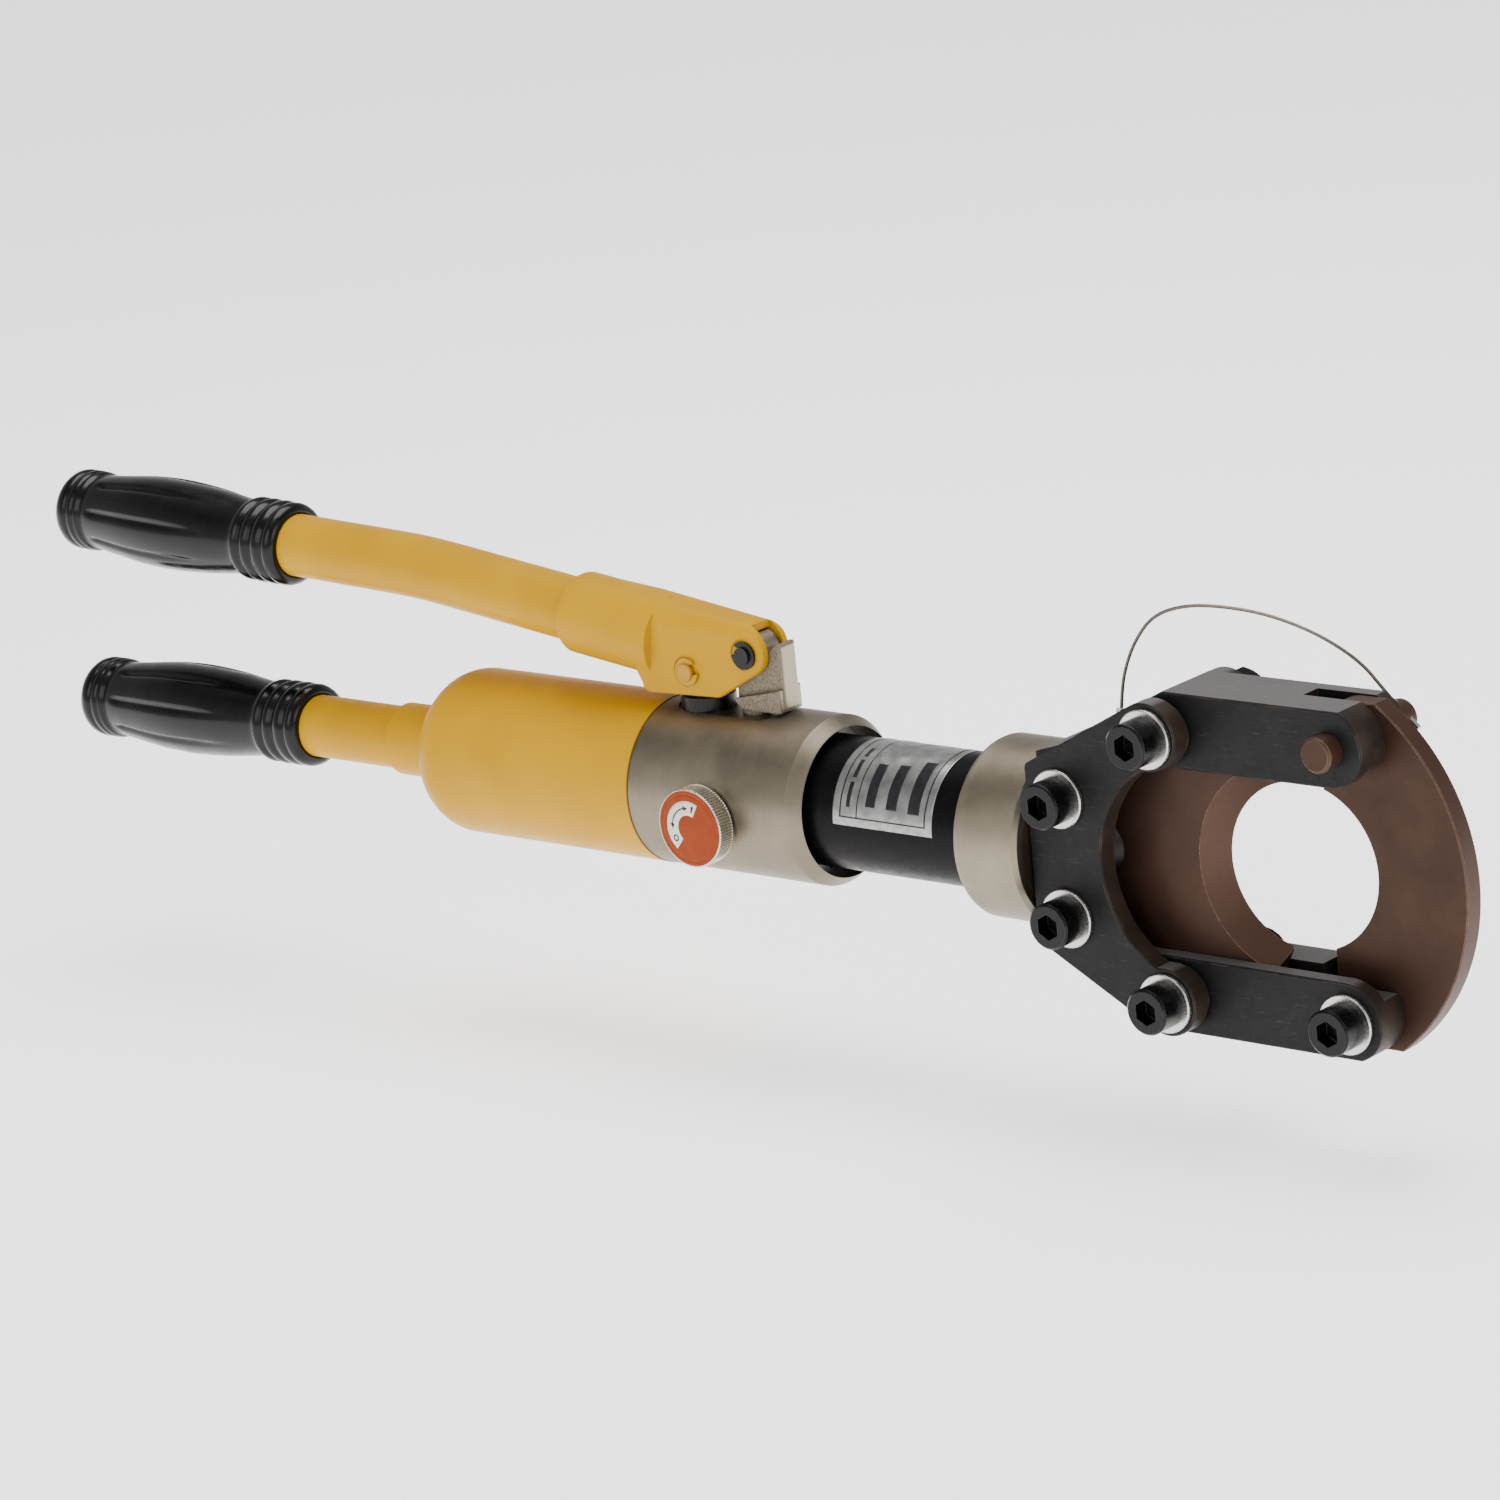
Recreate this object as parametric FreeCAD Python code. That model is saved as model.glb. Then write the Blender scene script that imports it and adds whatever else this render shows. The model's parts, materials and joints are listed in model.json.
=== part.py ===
"""Hand-pumped hydraulic cable cutter, modelled as the separate pieces that it comes apart into.

Frame, in millimetres: +X runs along the tool's axis towards the cutting head, +Z is up in the plane
of the two handles, and +Y points away from the release knob. The origin is on the axis, halfway
along the bare stretch of the hydraulic cylinder, which is where the tool balances and is held.
"""
import FreeCAD
import Part
import math
import os

V = FreeCAD.Vector
X_AXIS = V(1, 0, 0)
Y_AXIS = V(0, 1, 0)
Z_AXIS = V(0, 0, 1)
ORIGIN = V(0, 0, 0)

# ---- fits -------------------------------------------------------------------------------------
RUNNING = 0.05        # radial clearance of a shaft that turns or slides in its hole
LOOSE = 0.25          # gap between moving faces that only pass each other

# ---- stations along the axis ------------------------------------------------------------------
X_GRIP_END = -419.0
X_GRIP_MOUTH = -297.0
X_NECK_END = -251.5
X_DOME = -226.3
X_BODY_REAR = -113.0
X_BORE_REAR = -69.0   # wall behind the pressure chamber
X_RECESS = -63.0      # where the wide front bore of the pump body begins
X_BODY_FRONT = -35.0
X_COLLAR_REAR = 35.0
X_TUBE_FRONT = 55.0
X_COLLAR_FRONT = 62.0
X_PLATE = 63.0
X_BLOCK_FRONT = 88.0
X_BLOCK_FACE = 85.0   # the block's front face between the arms
X_BLADE_REAR = 85.8

# ---- reservoir, pump body and handles ---------------------------------------------------------
R_RESERVOIR = 30.6
R_DOME_EDGE = 18.0
RESERVOIR_WALL = 2.2
R_NECK = 13.6
R_HANDLE_TUBE = 11.8
TUBE_WALL = 2.5
R_BODY = 30.4
BODY_CHAMFER_X = 5.0
Z_BODY_FLAT = 28.8
R_FLAT_END = 11.0

# ---- hydraulic cylinder -----------------------------------------------------------------------
R_CYLINDER = 23.5
R_BORE = 18.0
R_FLANGE = 26.8
R_ROD = 12.0
STROKE = 58.0
X_PISTON_REAR = -67.0
X_PISTON_FRONT = -49.0
R_COLLAR = 31.8
R_SPIGOT = 27.5

# ---- cutting head -----------------------------------------------------------------------------
HALF_ARM = 14.0       # half the thickness of the arms
HALF_BLOCK = 16.0     # half the thickness of the head block and of the arms' bosses
PLATE_T = 8.0
EDGE_BREAK = 0.5      # chamfer along the outer edges of plates and arms
BLADE_T = 8.0
HALF_FACE_GAP = 0.05  # the two blades pass each other with twice this between them
Z_ARM_IN = 33.0
UPPER_PIVOT = (180.3, 45.8)
LOWER_PIVOT = (180.9, 46.8)    # mirrored: it lies below the axis
UPPER_ARM_OUT = 59.0
LOWER_ARM_OUT = 59.4
ARM_REACH = 13.1      # from the pivot to the arm's end
X_ARM_CORNER = 185.3
X_HOOK_SLOT = 162.5
Z_GROOVE = 39.3
Z_BLADE_HALF = 38.5
BLADE_GROOVE_T = 8.2
X_OPENING = 158.0     # centre of the round opening between the two blades
R_OPENING = 28.75
R_BEVEL = 36.6
X_HOOK_ARC = 150.8
R_HOOK_ARC = 70.5
R_HOOK_EYE = 12.8
X_PLATE_ARC = 131.6
R_PLATE_ARC = 39.2
R_PLATE_LOBE = 11.8
X_PLATE_LOBE = 114.9
Z_PLATE_LOBE = 45.8
X_BOLT_OUTER = 115.3
Z_BOLT_OUTER = 45.6
X_BOLT_INNER = 77.0
Z_BOLT_INNER = 20.9
PLATE_SLOPE = 28.4    # degrees between the plate's sloping edges and the axis

# ---- M10 fasteners ----------------------------------------------------------------------------
R_M10 = 5.0
R_M10_HEAD = 8.0
M10_HEAD_H = 10.0
M10_KEY = 8.0
M10_NUT_AF = 17.0
M10_NUT_H = 8.0
R_WASHER = 10.3
WASHER_T = 2.0
CLEARANCE_HOLE = 5.25

# ---- lock pin ---------------------------------------------------------------------------------
R_LOCK_PIN = 6.0
Y_LOCK_PIN = (-21.0, 30.0)
Y_CROSS_HOLE = 26.0
R_LANYARD = 0.6

# ---- pump lever -------------------------------------------------------------------------------
X_FULCRUM = -71.0
Z_FULCRUM = 51.8
X_LINK = -96.7
Z_LINK = 43.9
X_PLUNGER = -96.83
R_PIN = 3.15
R_PIN_GROOVE = 2.6
R_CLIP = 5.1
SLEEVE_ANGLE = 7.3    # degrees by which the lever's sleeve rises towards the grip
GRIP_ANGLE = 2.5      # the same for the far end of its tube
SLEEVE_POINT = V(-158.0, 0, 58.6)
X_SLEEVE_END = -155.0
R_SLEEVE = 15.0
R_TUBE_BEND = 300.0
X_TUBE_BEND = -232.1
X_NOSE = -64.0
HALF_NOSE = 7.6       # half the fork's width at X_NOSE; it widens towards the sleeve
FORK_TAPER = 0.079
CHEEK_T = 3.2
R_NOSE = 8.0
HOOD_TOP = 15.0
WEB_T = 4.5
R_SPOTFACE = 5.7
HALF_LUG = 4.1
R_LUG = 7.0
R_SHANK = 4.5
X_SHANK = -74.0
R_PLUNGER = 6.0
R_PLUNGER_HEAD = 8.0
R_GLAND = 10.0
Z_GLAND = 34.6

# ---- release valve ----------------------------------------------------------------------------
X_KNOB = -77.8
Z_KNOB = -4.0
R_KNOB = 14.4
R_KNOB_DISC = 13.2
Y_KNOB = (-38.7, -30.8)
R_STEM = 4.0


# ---- small helpers ----------------------------------------------------------------------------
def cyl(base, axis, radius, length):
    return Part.makeCylinder(radius, length, base, axis)


def cyl_x(x0, x1, radius, y=0.0, z=0.0):
    return cyl(V(x0, y, z), X_AXIS, radius, x1 - x0)


def cyl_y(y0, y1, radius, x, z):
    return cyl(V(x, y0, z), Y_AXIS, radius, y1 - y0)


def cyl_z(z0, z1, radius, x, y=0.0):
    return cyl(V(x, y, z0), Z_AXIS, radius, z1 - z0)


def ring_x(x0, x1, outer, inner):
    return cyl_x(x0, x1, outer).cut(cyl_x(x0 - 1, x1 + 1, inner))


def box(x0, x1, y0, y1, z0, z1):
    return Part.makeBox(x1 - x0, y1 - y0, z1 - z0, V(x0, y0, z0))


def fuse(shapes):
    result = shapes[0]
    for shape in shapes[1:]:
        result = result.fuse(shape)
    return result.removeSplitter()


def cut(shape, tools):
    for tool in tools:
        shape = shape.cut(tool)
    return shape.removeSplitter()


def mirror_z(shape):
    return shape.mirror(ORIGIN, Z_AXIS)


def revolve_x(points):
    """Solid of revolution about the X axis from (x, radius) points, in order round the section."""
    wire = Part.makePolygon([V(x, 0, r) for x, r in points + points[:1]])
    return Part.Face(wire).revolve(ORIGIN, X_AXIS, 360)


def outline(start, steps):
    """Closed wire in the XZ plane. A step is (x, z), or (x_mid, z_mid, x, z) for an arc."""
    edges = []
    here = V(start[0], 0, start[1])
    for step in steps:
        there = V(step[-2], 0, step[-1])
        if len(step) == 4:
            edges.append(Part.Arc(here, V(step[0], 0, step[1]), there).toShape())
        else:
            edges.append(Part.makeLine(here, there))
        here = there
    return Part.Wire(edges)


def slab(wire, y0, y1):
    """The plate between y0 and y1 whose outline is an XZ wire."""
    face = Part.Face(wire)
    face.translate(V(0, y0, 0))
    return face.extrude(V(0, y1 - y0, 0))


def break_faces(shape, y0, y1, size):
    """Chamfer the edges of the two flat faces of a slab that lies between y0 and y1."""
    rims = []
    for edge in shape.Edges:
        for y in (y0, y1):
            if all(abs(vertex.Y - y) < 1e-6 for vertex in edge.Vertexes):
                rims.append(edge)
    return shape.makeChamfer(size, rims)


def hexagon_y(across_flats, x, z, y0, y1):
    radius = across_flats / math.sqrt(3)
    points = []
    for i in range(7):
        turn = math.radians(60 * i + 30)
        points.append(V(x + radius * math.cos(turn), y0, z + radius * math.sin(turn)))
    return Part.Face(Part.makePolygon(points)).extrude(V(0, y1 - y0, 0))


def coil(radius, wire_radius, length, turns, base, direction):
    """Open coil spring of round wire, as long over its wire centres as length."""
    helix = Part.makeHelix(length / turns, length, radius)
    section = Part.Wire([Part.Circle(V(radius, 0, 0), Y_AXIS, wire_radius).toShape()])
    spring = Part.Wire(helix.Edges).makePipeShell([section], True, True)
    turn = FreeCAD.Rotation(Z_AXIS, direction)
    spring.Placement = FreeCAD.Placement(base, turn)
    return spring


def on_circle(cx, cz, radius, degrees):
    turn = math.radians(degrees)
    return cx + radius * math.cos(turn), cz + radius * math.sin(turn)


# ---- reservoir end ----------------------------------------------------------------------------
def rounded_can(x_end, x_open, radius, edge):
    """Solid can along X with a rounded closed end at x_end."""
    middle = edge * (1 - math.sqrt(0.5))
    start = V(x_end, 0, 0)
    shoulder = V(x_end, 0, radius - edge)
    tangent = V(x_end + edge, 0, radius)
    edges = [
        Part.makeLine(start, shoulder),
        Part.Arc(shoulder, V(x_end + middle, 0, radius - middle), tangent).toShape(),
        Part.makeLine(tangent, V(x_open, 0, radius)),
        Part.makeLine(V(x_open, 0, radius), V(x_open, 0, 0)),
        Part.makeLine(V(x_open, 0, 0), start),
    ]
    return Part.Face(Part.Wire(edges)).revolve(ORIGIN, X_AXIS, 360)


def reservoir_shell():
    can = rounded_can(X_DOME, X_BODY_REAR, R_RESERVOIR, R_DOME_EDGE)
    neck = cyl_x(X_NECK_END, X_DOME + 3, R_NECK)
    neck = neck.makeChamfer(1.5, [neck.Edges[2]])
    inner = rounded_can(X_DOME + RESERVOIR_WALL + 3, X_BODY_REAR + 1, R_RESERVOIR - RESERVOIR_WALL,
                        R_DOME_EDGE - RESERVOIR_WALL)
    socket = cyl_x(X_NECK_END - 1, X_DOME + 1, R_HANDLE_TUBE)
    return cut(can.fuse(neck), [inner, socket])


def handle_tube():
    return ring_x(X_GRIP_END + 6, X_DOME + 1, R_HANDLE_TUBE, R_HANDLE_TUBE - TUBE_WALL)


# radii of a grip from its domed end to its mouth, as (distance from the end, radius)
GRIP_PROFILE = [
    (0, 8.0), (1.5, 12.0), (3.5, 14.6), (6, 15.6), (8.5, 15.6), (9.5, 15.0), (11, 15.6), (14.5, 15.6),
    (16.5, 14.4), (28, 15.6), (43, 17.3), (58, 17.7), (76, 16.8), (92, 14.8), (98, 14.4),
    (100, 15.6), (103, 15.6), (104.5, 14.9), (106, 15.8), (109, 15.8), (110.5, 15.1), (112, 16.0),
    (116, 16.0), (119, 15.0), (121.5, 13.4),
]


def grip():
    """Rubber grip lying on the tool's axis, with its closed end at X_GRIP_END."""
    length = X_GRIP_MOUTH - X_GRIP_END
    points = [(X_GRIP_END, 0)]
    points += [(X_GRIP_END + along, radius) for along, radius in GRIP_PROFILE]
    points += [(X_GRIP_END + length, R_HANDLE_TUBE), (X_GRIP_END + 6, R_HANDLE_TUBE)]
    points += [(X_GRIP_END + 6, 0)]
    return revolve_x(points)


def oil_bladder():
    outer = rounded_can(X_DOME + 14, X_BODY_REAR - 24, 25.0, 12.0)
    inner = rounded_can(X_DOME + 15.6, X_BODY_REAR - 23, 23.4, 10.4)
    shoulder = ring_x(X_BODY_REAR - 24, X_BODY_REAR - 22.4, 25.0, 20.0)
    sleeve = ring_x(X_BODY_REAR - 23, X_BODY_REAR - 11, 21.6, 20.0)
    return fuse([outer.cut(inner), shoulder, sleeve])


def bladder_clamp():
    return ring_x(X_BODY_REAR - 20, X_BODY_REAR - 14, 22.8, 21.6)


def reservoir_seal():
    return ring_x(X_BODY_REAR - 7, X_BODY_REAR - 4, 28.4, 26.4)


# ---- pump body --------------------------------------------------------------------------------
Z_INLET = -8.0
X_INLET_SEAT = X_BODY_REAR - 16
X_RELIEF = -83.0


def pump_body():
    x_chamfer = X_BODY_FRONT - BODY_CHAMFER_X
    body = revolve_x([
        (X_BODY_REAR - 22, 0), (X_BODY_REAR - 22, 20.0), (X_BODY_REAR - 10, 20.0),
        (X_BODY_REAR - 10, 28.35), (X_BODY_REAR, 28.35), (X_BODY_REAR, R_BODY), (x_chamfer, R_BODY),
        (X_BODY_FRONT, R_FLANGE + RUNNING), (X_RECESS, R_FLANGE + RUNNING),
        (X_RECESS, R_CYLINDER + 0.1), (X_BORE_REAR, R_CYLINDER + 0.1), (X_BORE_REAR, 0),
    ])
    flat = fuse([
        box(X_PLUNGER, X_FULCRUM, -R_FLAT_END, R_FLAT_END, Z_BODY_FLAT, R_BODY + 1),
        cyl_z(Z_BODY_FLAT, R_BODY + 1, R_FLAT_END, X_PLUNGER),
        cyl_z(Z_BODY_FLAT, R_BODY + 1, R_FLAT_END, X_FULCRUM),
    ])
    bores = [
        cyl_z(Z_INLET - 2.5, Z_BODY_FLAT + 1, R_PLUNGER + RUNNING, X_PLUNGER),
        cyl_z(14, Z_BODY_FLAT + 1, 8.5, X_PLUNGER),
        cyl_z(12, Z_BODY_FLAT + 1, R_SHANK, X_SHANK),
        cyl_x(X_PLUNGER, X_BORE_REAR + 1, 1.5),
        cyl_x(-80, X_BORE_REAR + 1, 3.5),
        cyl_x(X_BODY_REAR - 23, X_PLUNGER, 1.5, z=Z_INLET),
        cyl_x(X_BODY_REAR - 23, X_INLET_SEAT + 12, 3.5, z=Z_INLET),
        cyl_y(-R_BODY, -9, R_STEM + RUNNING, X_KNOB, Z_KNOB),
        cyl_y(-10, -4, 1.2, X_KNOB, Z_KNOB),
        cyl(V(X_KNOB, -6.5, Z_KNOB), X_AXIS, 1.5, X_BORE_REAR - X_KNOB + 1),
        cyl(V(X_BODY_REAR - 23, -14, Z_KNOB), X_AXIS, 1.5, X_KNOB - X_BODY_REAR + 23),
        cyl_y(0, 9, 1.2, X_RELIEF, 0),
        cyl_y(8, R_BODY + 1, 3.5, X_RELIEF, 0),
    ]
    seal_groove = ring_x(X_BODY_REAR - 7, X_BODY_REAR - 4, 30, 26.4)
    return cut(body, [flat, seal_groove] + bores)


def suction_filter():
    cup = cyl_x(X_BODY_REAR - 31, X_BODY_REAR - 22, 5.0, z=Z_INLET)
    thread = cyl_x(X_BODY_REAR - 22, X_BODY_REAR - 19, 3.5, z=Z_INLET)
    hole = cyl_x(X_BODY_REAR - 29, X_BODY_REAR - 18, 2.2, z=Z_INLET)
    slots = []
    for x in (X_BODY_REAR - 28.5, X_BODY_REAR - 26.5, X_BODY_REAR - 24.5):
        slots.append(box(x, x + 0.8, -2.0, 2.0, Z_INLET - 6, Z_INLET + 6))
    return cut(cup.fuse(thread), [hole] + slots)


def ball(x, y, z):
    return Part.makeSphere(2.5, V(x, y, z))


def small_coil(base, direction):
    return coil(2.0, 0.35, 4.5, 4, base, direction)


def relief_screw():
    screw = cyl_y(19.4, 26.4, 3.5, X_RELIEF, 0)
    return screw.cut(hexagon_y(3.0, X_RELIEF, 0, 23.4, 27))


def fulcrum_block():
    """Cast block that stands on the pump body: a wedge foot, a web and an eye for the fulcrum pin."""
    x_left = -78.8
    x_right = -58.3
    z_foot = 31.0
    foot = slab(outline((x_left + 3.5, z_foot), [
        (x_right, z_foot), (x_right, 39.4), (x_left, 34.9), (x_left, 33.9), (x_left + 3.5, z_foot),
    ]), -6.5, 6.5)
    foot = foot.makeFillet(1.4, [e for e in foot.Edges if abs(e.tangentAt(e.FirstParameter).z) > 0.99
                                 and e.Vertexes[0].X > x_right - 1])
    web = slab(outline((-79.3, z_foot + 1), [
        (-57.5, z_foot + 1), (-57.5, 54.7), (-58.4, 55.6), (-59.6, 55.6), (-63.3, 52.6),
        (X_FULCRUM, Z_FULCRUM), (X_FULCRUM - R_LUG, Z_FULCRUM), (-79.3, z_foot + 1),
    ]), -HALF_LUG, HALF_LUG)
    web = web.makeFillet(0.8, [e for e in web.Edges if abs(e.tangentAt(e.FirstParameter).z) > 0.99
                               and e.Vertexes[0].X > -58])
    eye = cyl_y(-HALF_LUG, HALF_LUG, R_LUG, X_FULCRUM, Z_FULCRUM)
    boss = cyl_z(Z_BODY_FLAT, z_foot + 1, 5.6, X_SHANK)
    shank = cyl_z(12.5, z_foot + 1, R_SHANK, X_SHANK)
    bore = cyl_y(-11, 11, R_PIN + RUNNING, X_FULCRUM, Z_FULCRUM)
    return cut(fuse([foot, web, eye, boss, shank]), [bore])


def plunger_gland():
    gland = cyl_z(Z_BODY_FLAT, Z_GLAND, R_GLAND, X_PLUNGER)
    gland = gland.makeChamfer(0.8, [gland.Edges[0]])
    thread = cyl_z(18, Z_BODY_FLAT, 8.5, X_PLUNGER)
    return cut(gland.fuse(thread), [cyl_z(10, 40, R_PLUNGER + RUNNING, X_PLUNGER)])


def plunger_seal():
    return cyl_z(14, 18, 8.5, X_PLUNGER).cut(cyl_z(13, 19, R_PLUNGER + RUNNING, X_PLUNGER))


def pump_plunger():
    """Plunger with a slotted head, in which the lever's link pin rides."""
    rod = cyl_z(-2, 38, R_PLUNGER, X_PLUNGER)
    head = cyl_z(38, 50.5, R_PLUNGER_HEAD, X_PLUNGER)
    head = head.common(box(X_PLUNGER - 10, X_PLUNGER + 10, -5.5, 5.5, 37, 52))
    half_slot = 1.4
    r_slot = R_PIN + LOOSE
    slot = fuse([
        box(X_PLUNGER - half_slot, X_PLUNGER + half_slot, -9, 9, Z_LINK - r_slot, Z_LINK + r_slot),
        cyl_y(-9, 9, r_slot, X_PLUNGER - half_slot, Z_LINK),
        cyl_y(-9, 9, r_slot, X_PLUNGER + half_slot, Z_LINK),
    ])
    return cut(rod.fuse(head), [slot])


# ---- pump lever -------------------------------------------------------------------------------
def rise(degrees):
    """Unit vector that leads along the lever from the pump towards the grip."""
    turn = math.radians(degrees)
    return V(-math.cos(turn), 0, math.sin(turn))


def on_sleeve_line(x, offset=0.0):
    """Height of the sleeve's centre line at x, plus a distance at right angles to it."""
    slope = math.tan(math.radians(SLEEVE_ANGLE))
    return SLEEVE_POINT.z + (SLEEVE_POINT.x - x) * slope + offset / math.cos(math.radians(SLEEVE_ANGLE))


def sleeve_cylinder(x0, x1, radius):
    base = V(x1, 0, on_sleeve_line(x1))
    return cyl(base, rise(SLEEVE_ANGLE), radius, (x1 - x0) / math.cos(math.radians(SLEEVE_ANGLE)))


def hood_section(x, half_width, top, bottom, corner):
    """Upright rounded section of the bracket at x: its upper corners are round."""
    z0 = on_sleeve_line(x)
    mid = corner * (1 - math.sqrt(0.5))
    low_corner = 1.0
    low_mid = low_corner * (1 - math.sqrt(0.5))
    h = half_width
    t = z0 + top
    b = z0 - bottom
    edges = [
        Part.makeLine(V(x, -h + corner, t), V(x, h - corner, t)),
        Part.Arc(V(x, h - corner, t), V(x, h - mid, t - mid), V(x, h, t - corner)).toShape(),
        Part.makeLine(V(x, h, t - corner), V(x, h, b + low_corner)),
        Part.Arc(V(x, h, b + low_corner), V(x, h - low_mid, b + low_mid), V(x, h - low_corner, b)).toShape(),
        Part.makeLine(V(x, h - low_corner, b), V(x, -h + low_corner, b)),
        Part.Arc(V(x, -h + low_corner, b), V(x, -h + low_mid, b + low_mid), V(x, -h, b + low_corner)).toShape(),
        Part.makeLine(V(x, -h, b + low_corner), V(x, -h, t - corner)),
        Part.Arc(V(x, -h, t - corner), V(x, -h + mid, t - mid), V(x, -h + corner, t)).toShape(),
    ]
    return Part.Wire(edges)


def half_fork(x):
    """Half the width of the bracket's fork at x."""
    return HALF_NOSE + (X_NOSE - x) * FORK_TAPER


def lever_bracket():
    """Sleeve for the lever's tube that flattens into a hood with two cheeks."""
    x_hood = -120.0
    x_front = -55.0
    sleeve = sleeve_cylinder(X_SLEEVE_END, -112, R_SLEEVE)
    sleeve = sleeve.makeFillet(2.6, [sleeve.Edges[0]])
    taper = Part.makeLoft([
        hood_section(-150, 13.4, 14.7, 1.0, 13.0), hood_section(x_hood, half_fork(x_hood), HOOD_TOP, 8.0, 9.0),
    ], True, True)
    hood = Part.makeLoft([
        hood_section(x_hood, half_fork(x_hood), HOOD_TOP, 20.0, 9.0),
        hood_section(x_front, half_fork(x_front), HOOD_TOP, 20.0, 4.5),
    ], True, True)
    low = on_circle(X_FULCRUM, Z_FULCRUM, R_NOSE, -60)
    mid = on_circle(X_FULCRUM, Z_FULCRUM, R_NOSE, -22)
    high = on_circle(X_FULCRUM, Z_FULCRUM, R_NOSE, 15)
    hood = hood.common(slab(outline((-122, 48), [
        (-117.2, 38.2), (-116.2, 35.9, -113.6, 35.0), (-83.5, 35.3), low, (mid[0], mid[1], high[0], high[1]),
        (-66.0, 59.3, -76.0, 63.3), (-76.0, 90), (-122, 90), (-122, 48),
    ]), -18, 18))
    hood = hood.makeFillet(1.2, nose_rim(hood))
    solid = fuse([sleeve, taper, hood])
    x_web = -69.2
    x_slot = -117.0
    side = slab(outline((x_slot, 30), [
        (-50, 30), (-50, 80), (x_web, 80), (x_web, on_sleeve_line(x_web, HOOD_TOP - WEB_T)),
        (x_slot, on_sleeve_line(x_slot, HOOD_TOP - WEB_T)), (x_slot, 30),
    ]), -20, 20)
    wide = half_fork(x_slot) - CHEEK_T
    narrow = half_fork(-50) - CHEEK_T
    plan = Part.makePolygon([V(x_slot, -wide, 20), V(-50, -narrow, 20), V(-50, narrow, 20), V(x_slot, wide, 20),
                             V(x_slot, -wide, 20)])
    slot = Part.Face(plan).extrude(V(0, 0, 70)).common(side)
    socket = sleeve_cylinder(X_SLEEVE_END - 2, -121, R_HANDLE_TUBE)
    tools = [slot, socket, cyl_y(-HALF_LUG - 0.5, HALF_LUG + 0.5, R_LUG + 0.6, X_FULCRUM, Z_FULCRUM)]
    for x, z in PIVOTS:
        tools.append(cyl_y(-20, 20, R_PIN, x, z))
        tools.append(cyl_y(half_fork(x) - 0.05, 20, R_SPOTFACE, x, z))
        tools.append(cyl_y(-20, -half_fork(x) + 0.05, R_SPOTFACE, x, z))
    return cut(solid, tools)


def nose_rim(hood):
    """Edges of the hood's two cheeks round the fulcrum."""
    edges = []
    for edge in hood.Edges:
        ends = edge.Vertexes
        if len(ends) == 2 and abs(ends[0].Y - ends[1].Y) < 3 and all(abs(v.Y) > 6 for v in ends):
            if all(v.Z < 54.5 and v.X > -84 for v in ends):
                edges.append(edge)
    return edges


PIVOTS = [(X_FULCRUM, Z_FULCRUM), (X_LINK, Z_LINK)]


def lever_path():
    """Centre line of the lever's tube: straight, a gentle bend, straight."""
    near = V(-121.5, 0, on_sleeve_line(-121.5))
    corner = V(X_TUBE_BEND, 0, on_sleeve_line(X_TUBE_BEND))
    along = rise(SLEEVE_ANGLE)
    after = rise(GRIP_ANGLE)
    trim = R_TUBE_BEND * math.tan(math.radians(SLEEVE_ANGLE - GRIP_ANGLE) / 2)
    start = corner - along * trim
    end = corner + after * trim
    half = (SLEEVE_ANGLE + GRIP_ANGLE) / 2
    sagitta = R_TUBE_BEND / math.cos(math.radians(SLEEVE_ANGLE - GRIP_ANGLE) / 2) - R_TUBE_BEND
    inward = V(-math.sin(math.radians(half)), 0, -math.cos(math.radians(half)))
    far = corner + after * ((corner.x - X_GRIP_END - 6) / math.cos(math.radians(GRIP_ANGLE)))
    path = Part.Wire([
        Part.makeLine(near, start),
        Part.Arc(start, corner + inward * sagitta, end).toShape(),
        Part.makeLine(end, far),
    ])
    return path, near, along


def lever_tube():
    path, near, along = lever_path()
    solids = []
    for radius in (R_HANDLE_TUBE, R_HANDLE_TUBE - TUBE_WALL):
        section = Part.Wire([Part.Circle(near, along, radius).toShape()])
        solids.append(path.makePipeShell([section], True, False))
    return solids[0].cut(solids[1])


def lever_grip():
    """The same grip as on the fixed handle, moved onto the end of the lever's tube."""
    shape = grip()
    corner = V(X_TUBE_BEND, 0, on_sleeve_line(X_TUBE_BEND))
    reach = (corner.x - X_GRIP_END) / math.cos(math.radians(GRIP_ANGLE))
    end = corner + rise(GRIP_ANGLE) * reach
    shape.translate(V(-X_GRIP_END, 0, 0))
    shape.rotate(ORIGIN, Y_AXIS, GRIP_ANGLE)
    shape.translate(end)
    return shape


def grooved_pin(x, z):
    y_clip = half_fork(x)
    pin = cyl_y(-y_clip - 2.0, y_clip + 2.0, R_PIN, x, z)
    for y0 in (y_clip, -y_clip - 1.0):
        pin = pin.cut(cyl_y(y0, y0 + 1.0, R_PIN + 1, x, z).cut(cyl_y(y0, y0 + 1.0, R_PIN_GROOVE, x, z)))
    return pin


def e_clips():
    clips = []
    for (x, z), turn in zip(PIVOTS, (200, -20)):
        y_clip = half_fork(x)
        for y0 in (y_clip, -y_clip - 1.0):
            clip = cyl_y(y0, y0 + 1.0, R_CLIP, x, z).cut(cyl_y(y0, y0 + 1.0, R_PIN_GROOVE, x, z))
            mouth = box(0, 9, y0 - 1, y0 + 2, -1.9, 1.9)
            mouth.rotate(ORIGIN, Y_AXIS, turn)
            mouth.translate(V(x, 0, z))
            clips.append(clip.cut(mouth))
    return Part.makeCompound(clips)


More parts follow.
